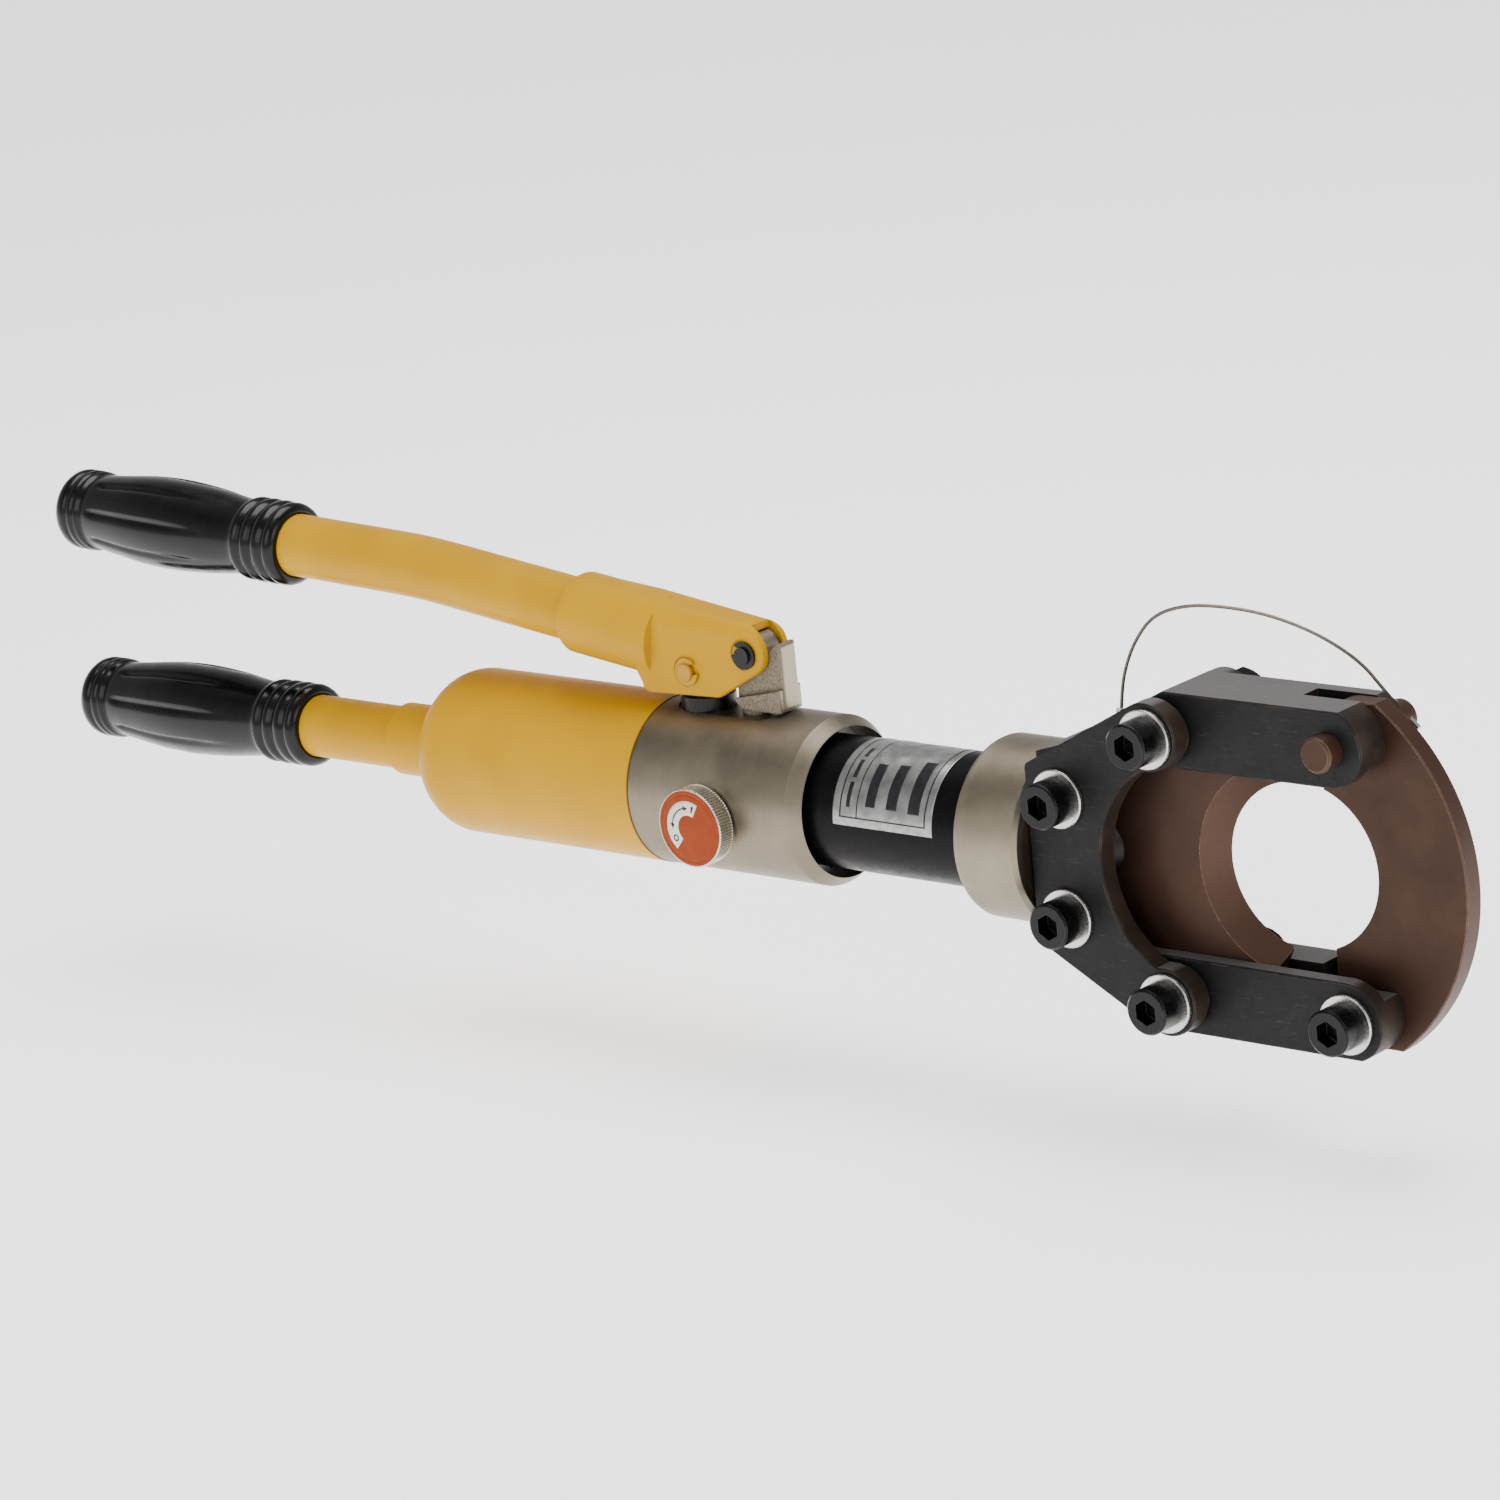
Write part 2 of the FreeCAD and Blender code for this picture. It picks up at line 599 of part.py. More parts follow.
# ---- release valve ----------------------------------------------------------------------------
def release_knob():
    knob = cyl_y(Y_KNOB[0], Y_KNOB[1], R_KNOB, X_KNOB, Z_KNOB)
    knob = knob.makeFillet(0.6, [knob.Edges[0], knob.Edges[2]])
    recess = cyl_y(Y_KNOB[0] - 1, Y_KNOB[0] + 1.6, R_KNOB_DISC, X_KNOB, Z_KNOB)
    bore = cyl_y(Y_KNOB[0], Y_KNOB[1] + 1, R_STEM, X_KNOB, Z_KNOB)
    return cut(knob, [recess, bore])


def knob_disc():
    return cyl_y(Y_KNOB[0] + 0.5, Y_KNOB[0] + 1.6, R_KNOB_DISC, X_KNOB, Z_KNOB)


def release_stem():
    stem = cyl_y(Y_KNOB[0] + 1.6, -13.5, R_STEM, X_KNOB, Z_KNOB)
    needle = Part.makeCone(R_STEM, 1.0, 4.5, V(X_KNOB, -13.5, Z_KNOB), Y_AXIS)
    groove = cyl_y(-26, -24, R_STEM + 1, X_KNOB, Z_KNOB).cut(cyl_y(-26, -24, 2.9, X_KNOB, Z_KNOB))
    return cut(stem.fuse(needle), [groove])


def release_seal():
    return cyl_y(-26, -24, R_STEM, X_KNOB, Z_KNOB).cut(cyl_y(-27, -23, 2.9, X_KNOB, Z_KNOB))


# ---- hydraulic cylinder -----------------------------------------------------------------------
def swivel_ring():
    ring = ring_x(X_RECESS + 7.2, X_RECESS + 16, R_FLANGE + RUNNING, R_CYLINDER + 0.1)
    holes = []
    for turn in (30, 150, 270):
        y, z = on_circle(0, 0, 25.2, turn)
        holes.append(cyl_x(X_RECESS + 13, X_RECESS + 17, 0.9, y, z))
    return cut(ring, holes)


def cylinder_tube():
    tube = revolve_x([
        (X_BORE_REAR + 0.3, R_BORE), (X_BORE_REAR + 0.3, R_CYLINDER), (X_RECESS + 0.1, R_CYLINDER),
        (X_RECESS + 0.1, R_FLANGE), (X_RECESS + 7.1, R_FLANGE), (X_RECESS + 7.1, R_CYLINDER),
        (X_TUBE_FRONT, R_CYLINDER), (X_TUBE_FRONT, R_BORE),
    ])
    return cut(tube, [ring_x(X_BORE_REAR + 2, X_BORE_REAR + 4.5, 25, 21.5)])


def swivel_seal():
    return ring_x(X_BORE_REAR + 2, X_BORE_REAR + 4.5, R_CYLINDER + RUNNING, 21.5)


def cylinder_label():
    """Thin label wrapped part of the way round the cylinder."""
    band = ring_x(-24, 20, R_CYLINDER + 0.15, R_CYLINDER)
    corners = [V(-25, 0, 0)]
    for turn in (180, 138, 96, 54):
        y, z = on_circle(0, 0, 40, turn)
        corners.append(V(-25, y, z))
    wedge = Part.Face(Part.makePolygon(corners + corners[:1])).extrude(V(50, 0, 0))
    return band.common(wedge)


def piston():
    body = ring_x(X_PISTON_REAR, X_PISTON_FRONT, R_BORE - RUNNING, 6.0)
    return cut(body, [ring_x(X_PISTON_REAR + 6, X_PISTON_REAR + 11, 20, 14)])


def piston_seal():
    return ring_x(X_PISTON_REAR + 6, X_PISTON_REAR + 11, R_BORE - RUNNING, 14)


def piston_nut():
    return cyl_x(X_PISTON_REAR, X_PISTON_REAR + 4, 6.0)


X_ROD_FRONT = 91.5
X_BLADE_PIN = 78.0


def ram_rod():
    rod = cyl_x(X_PISTON_FRONT, X_ROD_FRONT - 5, R_ROD)
    rod = rod.fuse(Part.makeCone(R_ROD, R_ROD - 5, 5, V(X_ROD_FRONT - 5, 0, 0), X_AXIS))
    spigot = cyl_x(X_PISTON_REAR + 4, X_PISTON_FRONT, 6.0)
    fork = box(X_BLADE_PIN - 8, X_ROD_FRONT + 1, -BLADE_T - 0.1, 0.0, -R_ROD - 1, R_ROD + 1)
    hole = cyl_y(-R_ROD, R_ROD, 4.0, X_BLADE_PIN, 0)
    return cut(rod.fuse(spigot), [fork, hole])


def blade_pin():
    return cyl_y(-11.2, 11.2, 4.0, X_BLADE_PIN, 0)


def return_spring():
    return coil(15.3, 2.0, X_TUBE_FRONT - X_PISTON_FRONT - 4.6, 9, V(X_PISTON_FRONT + 2.3, 0, 0), X_AXIS)


# ---- cutting head -----------------------------------------------------------------------------
def plate_edge(x):
    """Height of the head's sloping edge at x: it is tangent to the lobe round the outer bolt."""
    slope = math.radians(PLATE_SLOPE)
    tangent = on_circle(X_PLATE_LOBE, Z_PLATE_LOBE, R_PLATE_LOBE, 90 + PLATE_SLOPE)
    return tangent[1] + (x - tangent[0]) * math.tan(slope)


def head_collar():
    return revolve_x([
        (X_COLLAR_REAR, R_CYLINDER + 0.1), (X_COLLAR_REAR, R_COLLAR - 2.0), (X_COLLAR_REAR + 0.6, R_COLLAR - 0.6),
        (X_COLLAR_REAR + 2.0, R_COLLAR), (X_COLLAR_FRONT - 1.5, R_COLLAR), (X_COLLAR_FRONT, R_COLLAR - 1.5),
        (X_COLLAR_FRONT, R_SPIGOT), (X_COLLAR_REAR + 4, R_SPIGOT), (X_COLLAR_REAR + 4, R_CYLINDER + 0.1),
    ])


def head_block():
    """Black block that joins the cylinder to the two side plates."""
    z_rear = 33.4
    x_step = 74.0
    z_step = plate_edge(x_step)
    z_front = plate_edge(X_BLOCK_FRONT)
    tongue = slab(outline((X_COLLAR_FRONT, -z_rear), [
        (x_step, -z_step), (X_BLOCK_FRONT, -z_front), (X_BLOCK_FRONT, -Z_ARM_IN), (X_BLOCK_FACE, -Z_ARM_IN),
        (X_BLOCK_FACE, Z_ARM_IN), (X_BLOCK_FRONT, Z_ARM_IN), (X_BLOCK_FRONT, z_front), (x_step, z_step),
        (X_COLLAR_FRONT, z_rear), (X_COLLAR_FRONT, -z_rear),
    ]), -HALF_BLOCK, HALF_BLOCK)
    tongue = break_faces(tongue, -HALF_BLOCK, HALF_BLOCK, EDGE_BREAK)
    groove = box(X_BLOCK_FACE, X_BLOCK_FRONT + 1, -BLADE_GROOVE_T, 0, -Z_GROOVE, Z_GROOVE)
    spigot = cyl_x(X_COLLAR_REAR + 4, X_COLLAR_FRONT, R_SPIGOT)
    bolts = [cyl_y(-20, 20, CLEARANCE_HOLE, X_BOLT_INNER, z) for z in (-Z_BOLT_INNER, Z_BOLT_INNER)]
    rod_bore = cyl_x(0, 100, R_ROD + RUNNING)
    thread = cyl_x(X_COLLAR_REAR, X_TUBE_FRONT, R_CYLINDER)
    wiper_groove = cyl_x(X_COLLAR_FRONT - 5, X_COLLAR_FRONT - 1, 15.0)
    return cut(tongue.fuse(spigot), bolts + [groove, rod_bore, thread, wiper_groove, lanyard_anchor()])


def rod_wiper():
    return ring_x(X_COLLAR_FRONT - 5, X_COLLAR_FRONT - 1, 15.0, R_ROD + RUNNING)


def side_plate(y0):
    x_tangent, z_tangent = on_circle(X_PLATE_LOBE, Z_PLATE_LOBE, R_PLATE_LOBE, 90 + PLATE_SLOPE)
    x_right, z_right = on_circle(X_PLATE_LOBE, Z_PLATE_LOBE, R_PLATE_LOBE, 10)
    z_low = Z_PLATE_LOBE - R_PLATE_LOBE
    x_arc = X_PLATE_ARC - math.sqrt(R_PLATE_ARC ** 2 - z_low ** 2)
    round_off = 2.5
    slope = math.radians(PLATE_SLOPE)
    trim = round_off * math.tan((math.pi / 2 - slope) / 2)
    x_corner = X_PLATE + round_off
    z_corner = plate_edge(X_PLATE) - trim
    mid = on_circle(x_corner, z_corner, round_off, 135 + PLATE_SLOPE / 2)
    end = (X_PLATE + trim * math.cos(slope), plate_edge(X_PLATE) + trim * math.sin(slope))
    wire = outline((X_PLATE, -z_corner), [
        (X_PLATE, z_corner),
        (mid[0], mid[1], end[0], end[1]),
        (x_tangent, z_tangent),
        (x_right, z_right, X_PLATE_LOBE, z_low),
        (x_arc, z_low),
        (X_PLATE_ARC - R_PLATE_ARC, 0, x_arc, -z_low),
        (X_PLATE_LOBE, -z_low),
        (x_right, -z_right, x_tangent, -z_tangent),
        (end[0], -end[1]),
        (mid[0], -mid[1], X_PLATE, -z_corner),
    ])
    plate = break_faces(slab(wire, y0, y0 + PLATE_T), y0, y0 + PLATE_T, EDGE_BREAK)
    for x, z in BOLTS[:4]:
        plate = plate.cut(cyl_y(y0 - 1, y0 + PLATE_T + 1, CLEARANCE_HOLE, x, z))
    return plate


BOLTS = [
    (X_BOLT_OUTER, Z_BOLT_OUTER), (X_BOLT_INNER, Z_BOLT_INNER),
    (X_BOLT_INNER, -Z_BOLT_INNER), (X_BOLT_OUTER, -Z_BOLT_OUTER),
    (LOWER_PIVOT[0], -LOWER_PIVOT[1]),
]


def arm(pivot, z_out, pivot_hole):
    """Upper arm: it is grooved below for the sliding blade and slotted at its end for the hook."""
    x_root = X_BLOCK_FRONT + 0.1
    x_pivot, z_pivot = pivot
    x_end = x_pivot + ARM_REACH
    r_in = z_pivot - Z_ARM_IN
    mid_in = on_circle(x_end - r_in, z_pivot, r_in, -45)
    height = z_out - z_pivot
    depth = x_end - X_ARM_CORNER
    r_out = (depth ** 2 + height ** 2) / (2 * depth)
    turn = math.degrees(math.asin(height / r_out))
    mid_out = on_circle(x_end - r_out, z_pivot, r_out, turn / 2)
    body = slab(outline((x_root, Z_ARM_IN), [
        (x_end - r_in, Z_ARM_IN), (mid_in[0], mid_in[1], x_end, z_pivot),
        (mid_out[0], mid_out[1], X_ARM_CORNER, z_out), (X_BOLT_OUTER, z_out),
        (x_root, plate_edge(x_root)), (x_root, Z_ARM_IN),
    ]), -HALF_ARM, HALF_ARM)
    body = break_faces(body, -HALF_ARM, HALF_ARM, EDGE_BREAK)
    boss = cyl_y(-HALF_BLOCK, HALF_BLOCK, 10.0, X_BOLT_OUTER, Z_BOLT_OUTER)
    groove = box(80, 210, -BLADE_GROOVE_T, 0, Z_ARM_IN - 1, Z_GROOVE)
    slot = box(X_HOOK_SLOT, 210, 0, BLADE_T + LOOSE, Z_ARM_IN - 1, z_out + 1)
    return cut(body.fuse(boss), [
        groove, slot,
        cyl_y(-20, 20, CLEARANCE_HOLE, X_BOLT_OUTER, Z_BOLT_OUTER),
        cyl_y(-20, 20, pivot_hole, x_pivot, z_pivot),
    ])


def upper_arm():
    return arm(UPPER_PIVOT, UPPER_ARM_OUT, R_LOCK_PIN + RUNNING)


def lower_arm():
    return mirror_z(arm(LOWER_PIVOT, LOWER_ARM_OUT, R_M10 + RUNNING))


def edge_cone():
    """Tool that bevels a cutting edge: the opening's radius at y = 0, wider towards +y."""
    grow = (R_BEVEL - R_OPENING) / BLADE_T
    depth = BLADE_T + 2
    return Part.makeCone(R_OPENING, R_OPENING + grow * depth, depth, V(X_OPENING, 0, 0), Y_AXIS)


def hook_blade():
    x_up, z_up = UPPER_PIVOT
    x_low, z_low = LOWER_PIVOT
    x_in = x_up - R_HOOK_EYE
    x_in_low = x_low - R_HOOK_EYE
    z_top = z_up + R_HOOK_EYE
    z_bottom = z_low + R_HOOK_EYE
    x_outer = X_HOOK_ARC + math.sqrt(R_HOOK_ARC ** 2 - z_top ** 2)
    x_outer_low = 192.0
    z_cut = math.sqrt(R_OPENING ** 2 - (x_in - X_OPENING) ** 2)
    z_cut_low = math.sqrt(R_OPENING ** 2 - (x_in_low - X_OPENING) ** 2)
    tip_mid = on_circle(x_up, z_up, R_HOOK_EYE, 135)
    low_mid = on_circle(x_low, -z_low, R_HOOK_EYE, 225)
    blade = slab(outline((x_in, z_cut), [
        (x_in, z_up), (tip_mid[0], tip_mid[1], x_up, z_top), (x_outer, z_top),
        (X_HOOK_ARC + R_HOOK_ARC, 0, x_outer_low, -z_bottom), (x_low, -z_bottom),
        (low_mid[0], low_mid[1], x_in_low, -z_low), (x_in_low, -z_cut_low),
        (X_OPENING + R_OPENING, 0, x_in, z_cut),
    ]), HALF_FACE_GAP, BLADE_T)
    blade = break_faces(blade, HALF_FACE_GAP, BLADE_T, 0.4)
    r_notch = R_LOCK_PIN + 0.15
    notch = fuse([
        cyl_y(-1, 10, r_notch, x_up, z_up),
        slab(outline((x_up, z_up + r_notch), [
            (x_up - 20, z_up + r_notch), (x_up - 20, z_up - 8.8), (x_up, z_up - r_notch), (x_up, z_up + r_notch),
        ]), -1, 10),
    ])
    bush_hole = cyl_y(-1, 10, 7.5, x_low, -z_low)
    return cut(blade, [notch, bush_hole, edge_cone()])


def hinge_bush():
    outer = cyl_y(HALF_FACE_GAP, BLADE_T, 7.5, LOWER_PIVOT[0], -LOWER_PIVOT[1])
    return outer.cut(cyl_y(-1, 10, R_M10 + RUNNING, LOWER_PIVOT[0], -LOWER_PIVOT[1]))


def moving_blade():
    x_tip = X_OPENING - 6.5
    z_tip = math.sqrt(R_OPENING ** 2 - 6.5 ** 2)
    x_shoulder = x_tip - 4.6
    tail = 8.0
    x_tail = X_BLADE_PIN - 7.5
    blade = slab(outline((X_BLADE_REAR, -Z_BLADE_HALF), [
        (x_shoulder, -Z_BLADE_HALF), (x_tip, -z_tip - 1.8), (x_tip, -z_tip),
        (X_OPENING - R_OPENING, 0, x_tip, z_tip), (x_tip, z_tip + 1.8),
        (x_shoulder, Z_BLADE_HALF), (X_BLADE_REAR, Z_BLADE_HALF), (X_BLADE_REAR, tail),
        (x_tail, tail), (x_tail, -tail), (X_BLADE_REAR, -tail), (X_BLADE_REAR, -Z_BLADE_HALF),
    ]), -BLADE_T, -HALF_FACE_GAP)
    blade = break_faces(blade, -BLADE_T, -HALF_FACE_GAP, 0.3)
    bevel = edge_cone().mirror(ORIGIN, Y_AXIS)
    return cut(blade, [bevel, cyl_y(-10, 1, 4.0, X_BLADE_PIN, 0)])


# ---- fasteners of the head --------------------------------------------------------------------
def socket_bolt(x, z, y_head, length):
    """M10 socket screw whose head's underside is at y_head and whose shank runs towards +Y."""
    head = cyl_y(y_head - M10_HEAD_H, y_head, R_M10_HEAD, x, z)
    head = head.makeChamfer(0.7, [head.Edges[2]])
    shank = cyl_y(y_head, y_head + length, R_M10, x, z)
    key = hexagon_y(M10_KEY, x, z, y_head - M10_HEAD_H - 1, y_head - 4.5)
    return cut(head.fuse(shank), [key])


def outer_face(index):
    """Half the thickness of what bolt number index clamps together."""
    return HALF_ARM if index == 4 else HALF_BLOCK + PLATE_T


def frame_bolts():
    bolts = []
    for i in range(4):
        seat = outer_face(i) + WASHER_T
        bolts.append(socket_bolt(BOLTS[i][0], BOLTS[i][1], -seat, 2 * seat + M10_NUT_H + 2))
    return Part.makeCompound(bolts)


def hinge_bolt():
    seat = outer_face(4) + WASHER_T
    return socket_bolt(BOLTS[4][0], BOLTS[4][1], -seat, 2 * seat + M10_NUT_H + 2)


def head_washers():
    washers = []
    for i in range(5):
        x, z = BOLTS[i]
        for y0 in (-outer_face(i) - WASHER_T, outer_face(i)):
            washer = break_faces(cyl_y(y0, y0 + WASHER_T, R_WASHER, x, z), y0, y0 + WASHER_T, 0.35)
            washers.append(washer.cut(cyl_y(y0 - 1, y0 + WASHER_T + 1, R_M10, x, z)))
    return Part.makeCompound(washers)


def head_nuts():
    nuts = []
    for i in range(5):
        x, z = BOLTS[i]
        y0 = outer_face(i) + WASHER_T
        nut = hexagon_y(M10_NUT_AF, x, z, y0, y0 + M10_NUT_H)
        dome = Part.makeCone(13.6, 8.6, M10_NUT_H, V(x, y0, z), Y_AXIS)
        nut = nut.common(dome)
        nuts.append(nut.cut(cyl_y(y0 - 1, y0 + M10_NUT_H + 1, R_M10, x, z)))
    return Part.makeCompound(nuts)


# ---- lock pin and its lanyard -----------------------------------------------------------------
CROSS_ANGLE = 42.0    # degrees below the axis at which the lanyard's end points
CROSS_OFFSET = 3.8
LANYARD = [
    V(85.7, 2.5, 45.9), V(85.5, 3.8, 51.5), V(86.3, 5.4, 58.7), V(89.3, 7.6, 67.8), V(96.3, 9.8, 77.2),
    V(108.6, 12.2, 81.2), V(122.6, 14.8, 81.2), V(136.6, 17.4, 79.4), V(150.2, 20.0, 75.2),
    V(161.2, 22.4, 69.6), V(169.8, 24.6, 63.0), V(175.1, 26.0, 56.0), V(179.1, 26.0, 52.0),
]


def cross_line():
    turn = math.radians(CROSS_ANGLE)
    along = V(math.cos(turn), 0, -math.sin(turn))
    out = V(math.sin(turn), 0, math.cos(turn))
    return V(UPPER_PIVOT[0], Y_CROSS_HOLE, UPPER_PIVOT[1]) + out * CROSS_OFFSET, along


def lock_pin():
    y0, y1 = Y_LOCK_PIN
    pin = cyl_y(y0, y1, R_LOCK_PIN, *UPPER_PIVOT)
    pin = pin.makeChamfer(0.9, [pin.Edges[0], pin.Edges[2]])
    point, along = cross_line()
    return pin.cut(cyl(point - along * 10, along, 1.0, 20))


def lanyard_ferrule():
    """Steel end of the lanyard, swaged in the lock pin's cross hole."""
    point, along = cross_line()
    ferrule = cyl(point - along * 5.0, along, 1.0, 13.2)
    return ferrule.makeFillet(0.5, [edge for edge in ferrule.Edges if len(edge.Vertexes) == 1])


def lanyard_anchor():
    """Stud pressed into the head block's sloping edge, from which the lanyard starts."""
    along = LANYARD[1] - LANYARD[0]
    along.normalize()
    return cyl(LANYARD[0] - along * 5.0, along, 1.8, 5.0)


def rounded_path(points, share):
    """Straight runs joined by tangent arcs, each as large as its two runs allow."""
    edges = []
    radii = []
    here = points[0]
    for i in range(1, len(points) - 1):
        before = points[i] - points[i - 1]
        after = points[i + 1] - points[i]
        trim = share * min(before.Length, after.Length)
        before.normalize()
        after.normalize()
        half_turn = before.getAngle(after) / 2
        radius = trim / math.tan(half_turn)
        start = points[i] - before * trim
        end = points[i] + after * trim
        inward = after - before
        inward.normalize()
        middle = points[i] + inward * (radius / math.cos(half_turn) - radius)
        edges.append(Part.LineSegment(here, start).toShape())
        edges.append(Part.Arc(start, middle, end).toShape())
        radii.append(radius)
        here = end
    edges.append(Part.LineSegment(here, points[-1]).toShape())
    return Part.Wire(edges), radii


def lanyard_wire():
    path, radii = rounded_path(LANYARD, 0.45)
    start = LANYARD[1] - LANYARD[0]
    section = Part.Wire([Part.Circle(LANYARD[0], start, R_LANYARD).toShape()])
    wire = path.makePipeShell([section], True, False)
    ideal = math.pi * R_LANYARD ** 2 * path.Length
    print("lanyard length %.1f, volume over ideal %.4f" % (path.Length, wire.Volume / ideal))
    print("lanyard bend radii", " ".join("%.1f" % radius for radius in radii))
    return wire


PARTS = {
    "reservoir_shell": reservoir_shell,
    "handle_tube": handle_tube,
    "handle_grip": grip,
    "oil_bladder": oil_bladder,
    "bladder_clamp": bladder_clamp,
    "reservoir_seal": reservoir_seal,
    "pump_body": pump_body,
    "suction_filter": suction_filter,
    "inlet_ball": lambda: ball(X_INLET_SEAT + 2.6, 0, Z_INLET),
    "inlet_spring": lambda: small_coil(V(X_INLET_SEAT + 5.5, 0, Z_INLET), X_AXIS),
    "outlet_ball": lambda: ball(-77.4, 0, 0),
    "outlet_spring": lambda: small_coil(V(-74.5, 0, 0), X_AXIS),
    "relief_ball": lambda: ball(X_RELIEF, 10.5, 0),
    "relief_spring": lambda: coil(2.0, 0.6, 4.8, 4, V(X_RELIEF, 13.8, 0), Y_AXIS),
    "relief_screw": relief_screw,
    "fulcrum_block": fulcrum_block,
    "plunger_gland": plunger_gland,
    "plunger_seal": plunger_seal,
    "swivel_ring": swivel_ring,
    "pump_plunger": pump_plunger,
    "lever_bracket": lever_bracket,
    "lever_tube": lever_tube,
    "lever_grip": lever_grip,
    "fulcrum_pin": lambda: grooved_pin(X_FULCRUM, Z_FULCRUM),
    "link_pin": lambda: grooved_pin(X_LINK, Z_LINK),
    "lever_clips": e_clips,
    "release_knob": release_knob,
    "knob_disc": knob_disc,
    "release_stem": release_stem,
    "release_seal": release_seal,
    "cylinder_tube": cylinder_tube,
    "swivel_seal": swivel_seal,
    "cylinder_label": cylinder_label,
    "head_collar": head_collar,
    "head_block": head_block,
    "rod_wiper": rod_wiper,
    "front_plate": lambda: side_plate(-HALF_BLOCK - PLATE_T),
    "rear_plate": lambda: side_plate(HALF_BLOCK),
    "upper_arm": upper_arm,
    "lower_arm": lower_arm,
    "frame_bolts": frame_bolts,
    "hinge_bolt": hinge_bolt,
    "head_washers": head_washers,
    "head_nuts": head_nuts,
    "piston": piston,
    "piston_nut": piston_nut,
    "piston_seal": piston_seal,
    "ram_rod": ram_rod,
    "blade_pin": blade_pin,
    "moving_blade": moving_blade,
    "return_spring": return_spring,
    "hook_blade": hook_blade,
    "hinge_bush": hinge_bush,
    "lock_pin": lock_pin,
    "lanyard_ferrule": lanyard_ferrule,
    "lanyard_anchor": lanyard_anchor,
    "lanyard_wire": lanyard_wire,
}


def main():
    os.makedirs("parts", exist_ok=True)
    for name, build in PARTS.items():
        shape = build()
        shape.exportStep("parts/%s.step" % name)
        print("%-18s valid %s  solids %d  volume %.0f" % (name, shape.isValid(), len(shape.Solids), shape.Volume))


main()
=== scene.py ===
"""Looks of the hand-pumped hydraulic cable cutter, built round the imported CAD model.

Frame, in metres: +X along the tool's axis towards the cutting head, +Z up in the plane of the two
handles, +Y away from the release knob. Lengths of the object are in millimetres until MM is applied.
Camera, floor and lamps are in metres.
"""
import json
import math

import bpy
from mathutils import Matrix, Vector, noise


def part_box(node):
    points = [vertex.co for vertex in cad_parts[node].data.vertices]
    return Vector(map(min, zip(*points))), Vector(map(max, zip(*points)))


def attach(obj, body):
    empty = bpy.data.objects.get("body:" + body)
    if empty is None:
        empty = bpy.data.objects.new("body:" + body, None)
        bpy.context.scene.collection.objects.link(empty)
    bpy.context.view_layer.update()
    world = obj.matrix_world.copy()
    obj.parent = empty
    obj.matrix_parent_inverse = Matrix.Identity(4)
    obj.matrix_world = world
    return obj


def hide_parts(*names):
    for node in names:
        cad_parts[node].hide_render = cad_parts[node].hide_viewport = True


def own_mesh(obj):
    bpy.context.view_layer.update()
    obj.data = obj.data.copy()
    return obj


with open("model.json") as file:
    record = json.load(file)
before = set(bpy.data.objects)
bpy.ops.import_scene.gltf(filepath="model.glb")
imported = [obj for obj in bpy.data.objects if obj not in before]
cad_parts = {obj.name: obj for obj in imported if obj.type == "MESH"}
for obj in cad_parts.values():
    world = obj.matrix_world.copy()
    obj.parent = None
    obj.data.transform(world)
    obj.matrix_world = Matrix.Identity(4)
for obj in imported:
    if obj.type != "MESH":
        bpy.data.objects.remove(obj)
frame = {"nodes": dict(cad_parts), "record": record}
bpy.context.view_layer.update()
MM = 0.001


# ---- camera -----------------------------------------------------------------------------------
CAMERA_AZIMUTH = math.radians(41.938)
CAMERA_ELEVATION = math.radians(15.593)
CAMERA_ROLL = math.radians(-5.755)
CAMERA_PLACE = Vector((1.1930, -1.4169, 0.5455))
FOCAL_LENGTH = 133.86
SENSOR_WIDTH = 36
VIEW_DEPTH = 20


def link(thing):
    bpy.context.scene.collection.objects.link(thing)
    return thing


def make_camera():
    back = Vector((math.sin(CAMERA_AZIMUTH) * math.cos(CAMERA_ELEVATION),
                   -math.cos(CAMERA_AZIMUTH) * math.cos(CAMERA_ELEVATION), math.sin(CAMERA_ELEVATION)))
    level = Vector((math.cos(CAMERA_AZIMUTH), math.sin(CAMERA_AZIMUTH), 0))
    upright = back.cross(level)
    right = level * math.cos(CAMERA_ROLL) + upright * math.sin(CAMERA_ROLL)
    up = upright * math.cos(CAMERA_ROLL) - level * math.sin(CAMERA_ROLL)
    data = bpy.data.cameras.new("camera")
    data.lens = FOCAL_LENGTH
    data.sensor_width = SENSOR_WIDTH
    data.clip_end = VIEW_DEPTH
    camera = link(bpy.data.objects.new("camera", data))
    turn = Matrix((right, up, back)).transposed().to_4x4()
    camera.matrix_world = Matrix.Translation(CAMERA_PLACE) @ turn
    bpy.context.scene.camera = camera


make_camera()


# ---- lanyard wire -----------------------------------------------------------------------------
LANYARD = [     # from the anchor on the head block, over its arch, to the ferrule at the lock pin
    (85.7, 2.5, 45.9), (85.5, 3.8, 51.5), (86.3, 5.4, 58.7), (89.3, 7.6, 67.8), (96.3, 9.8, 77.2),
    (108.6, 12.2, 81.2), (122.6, 14.8, 81.2), (136.6, 17.4, 79.4), (150.2, 20.0, 75.2),
    (161.2, 22.4, 69.6), (169.8, 24.6, 63.0), (175.1, 26.0, 56.0), (179.1, 26.0, 52.0),
]
LANYARD_DIAMETER = 1.2


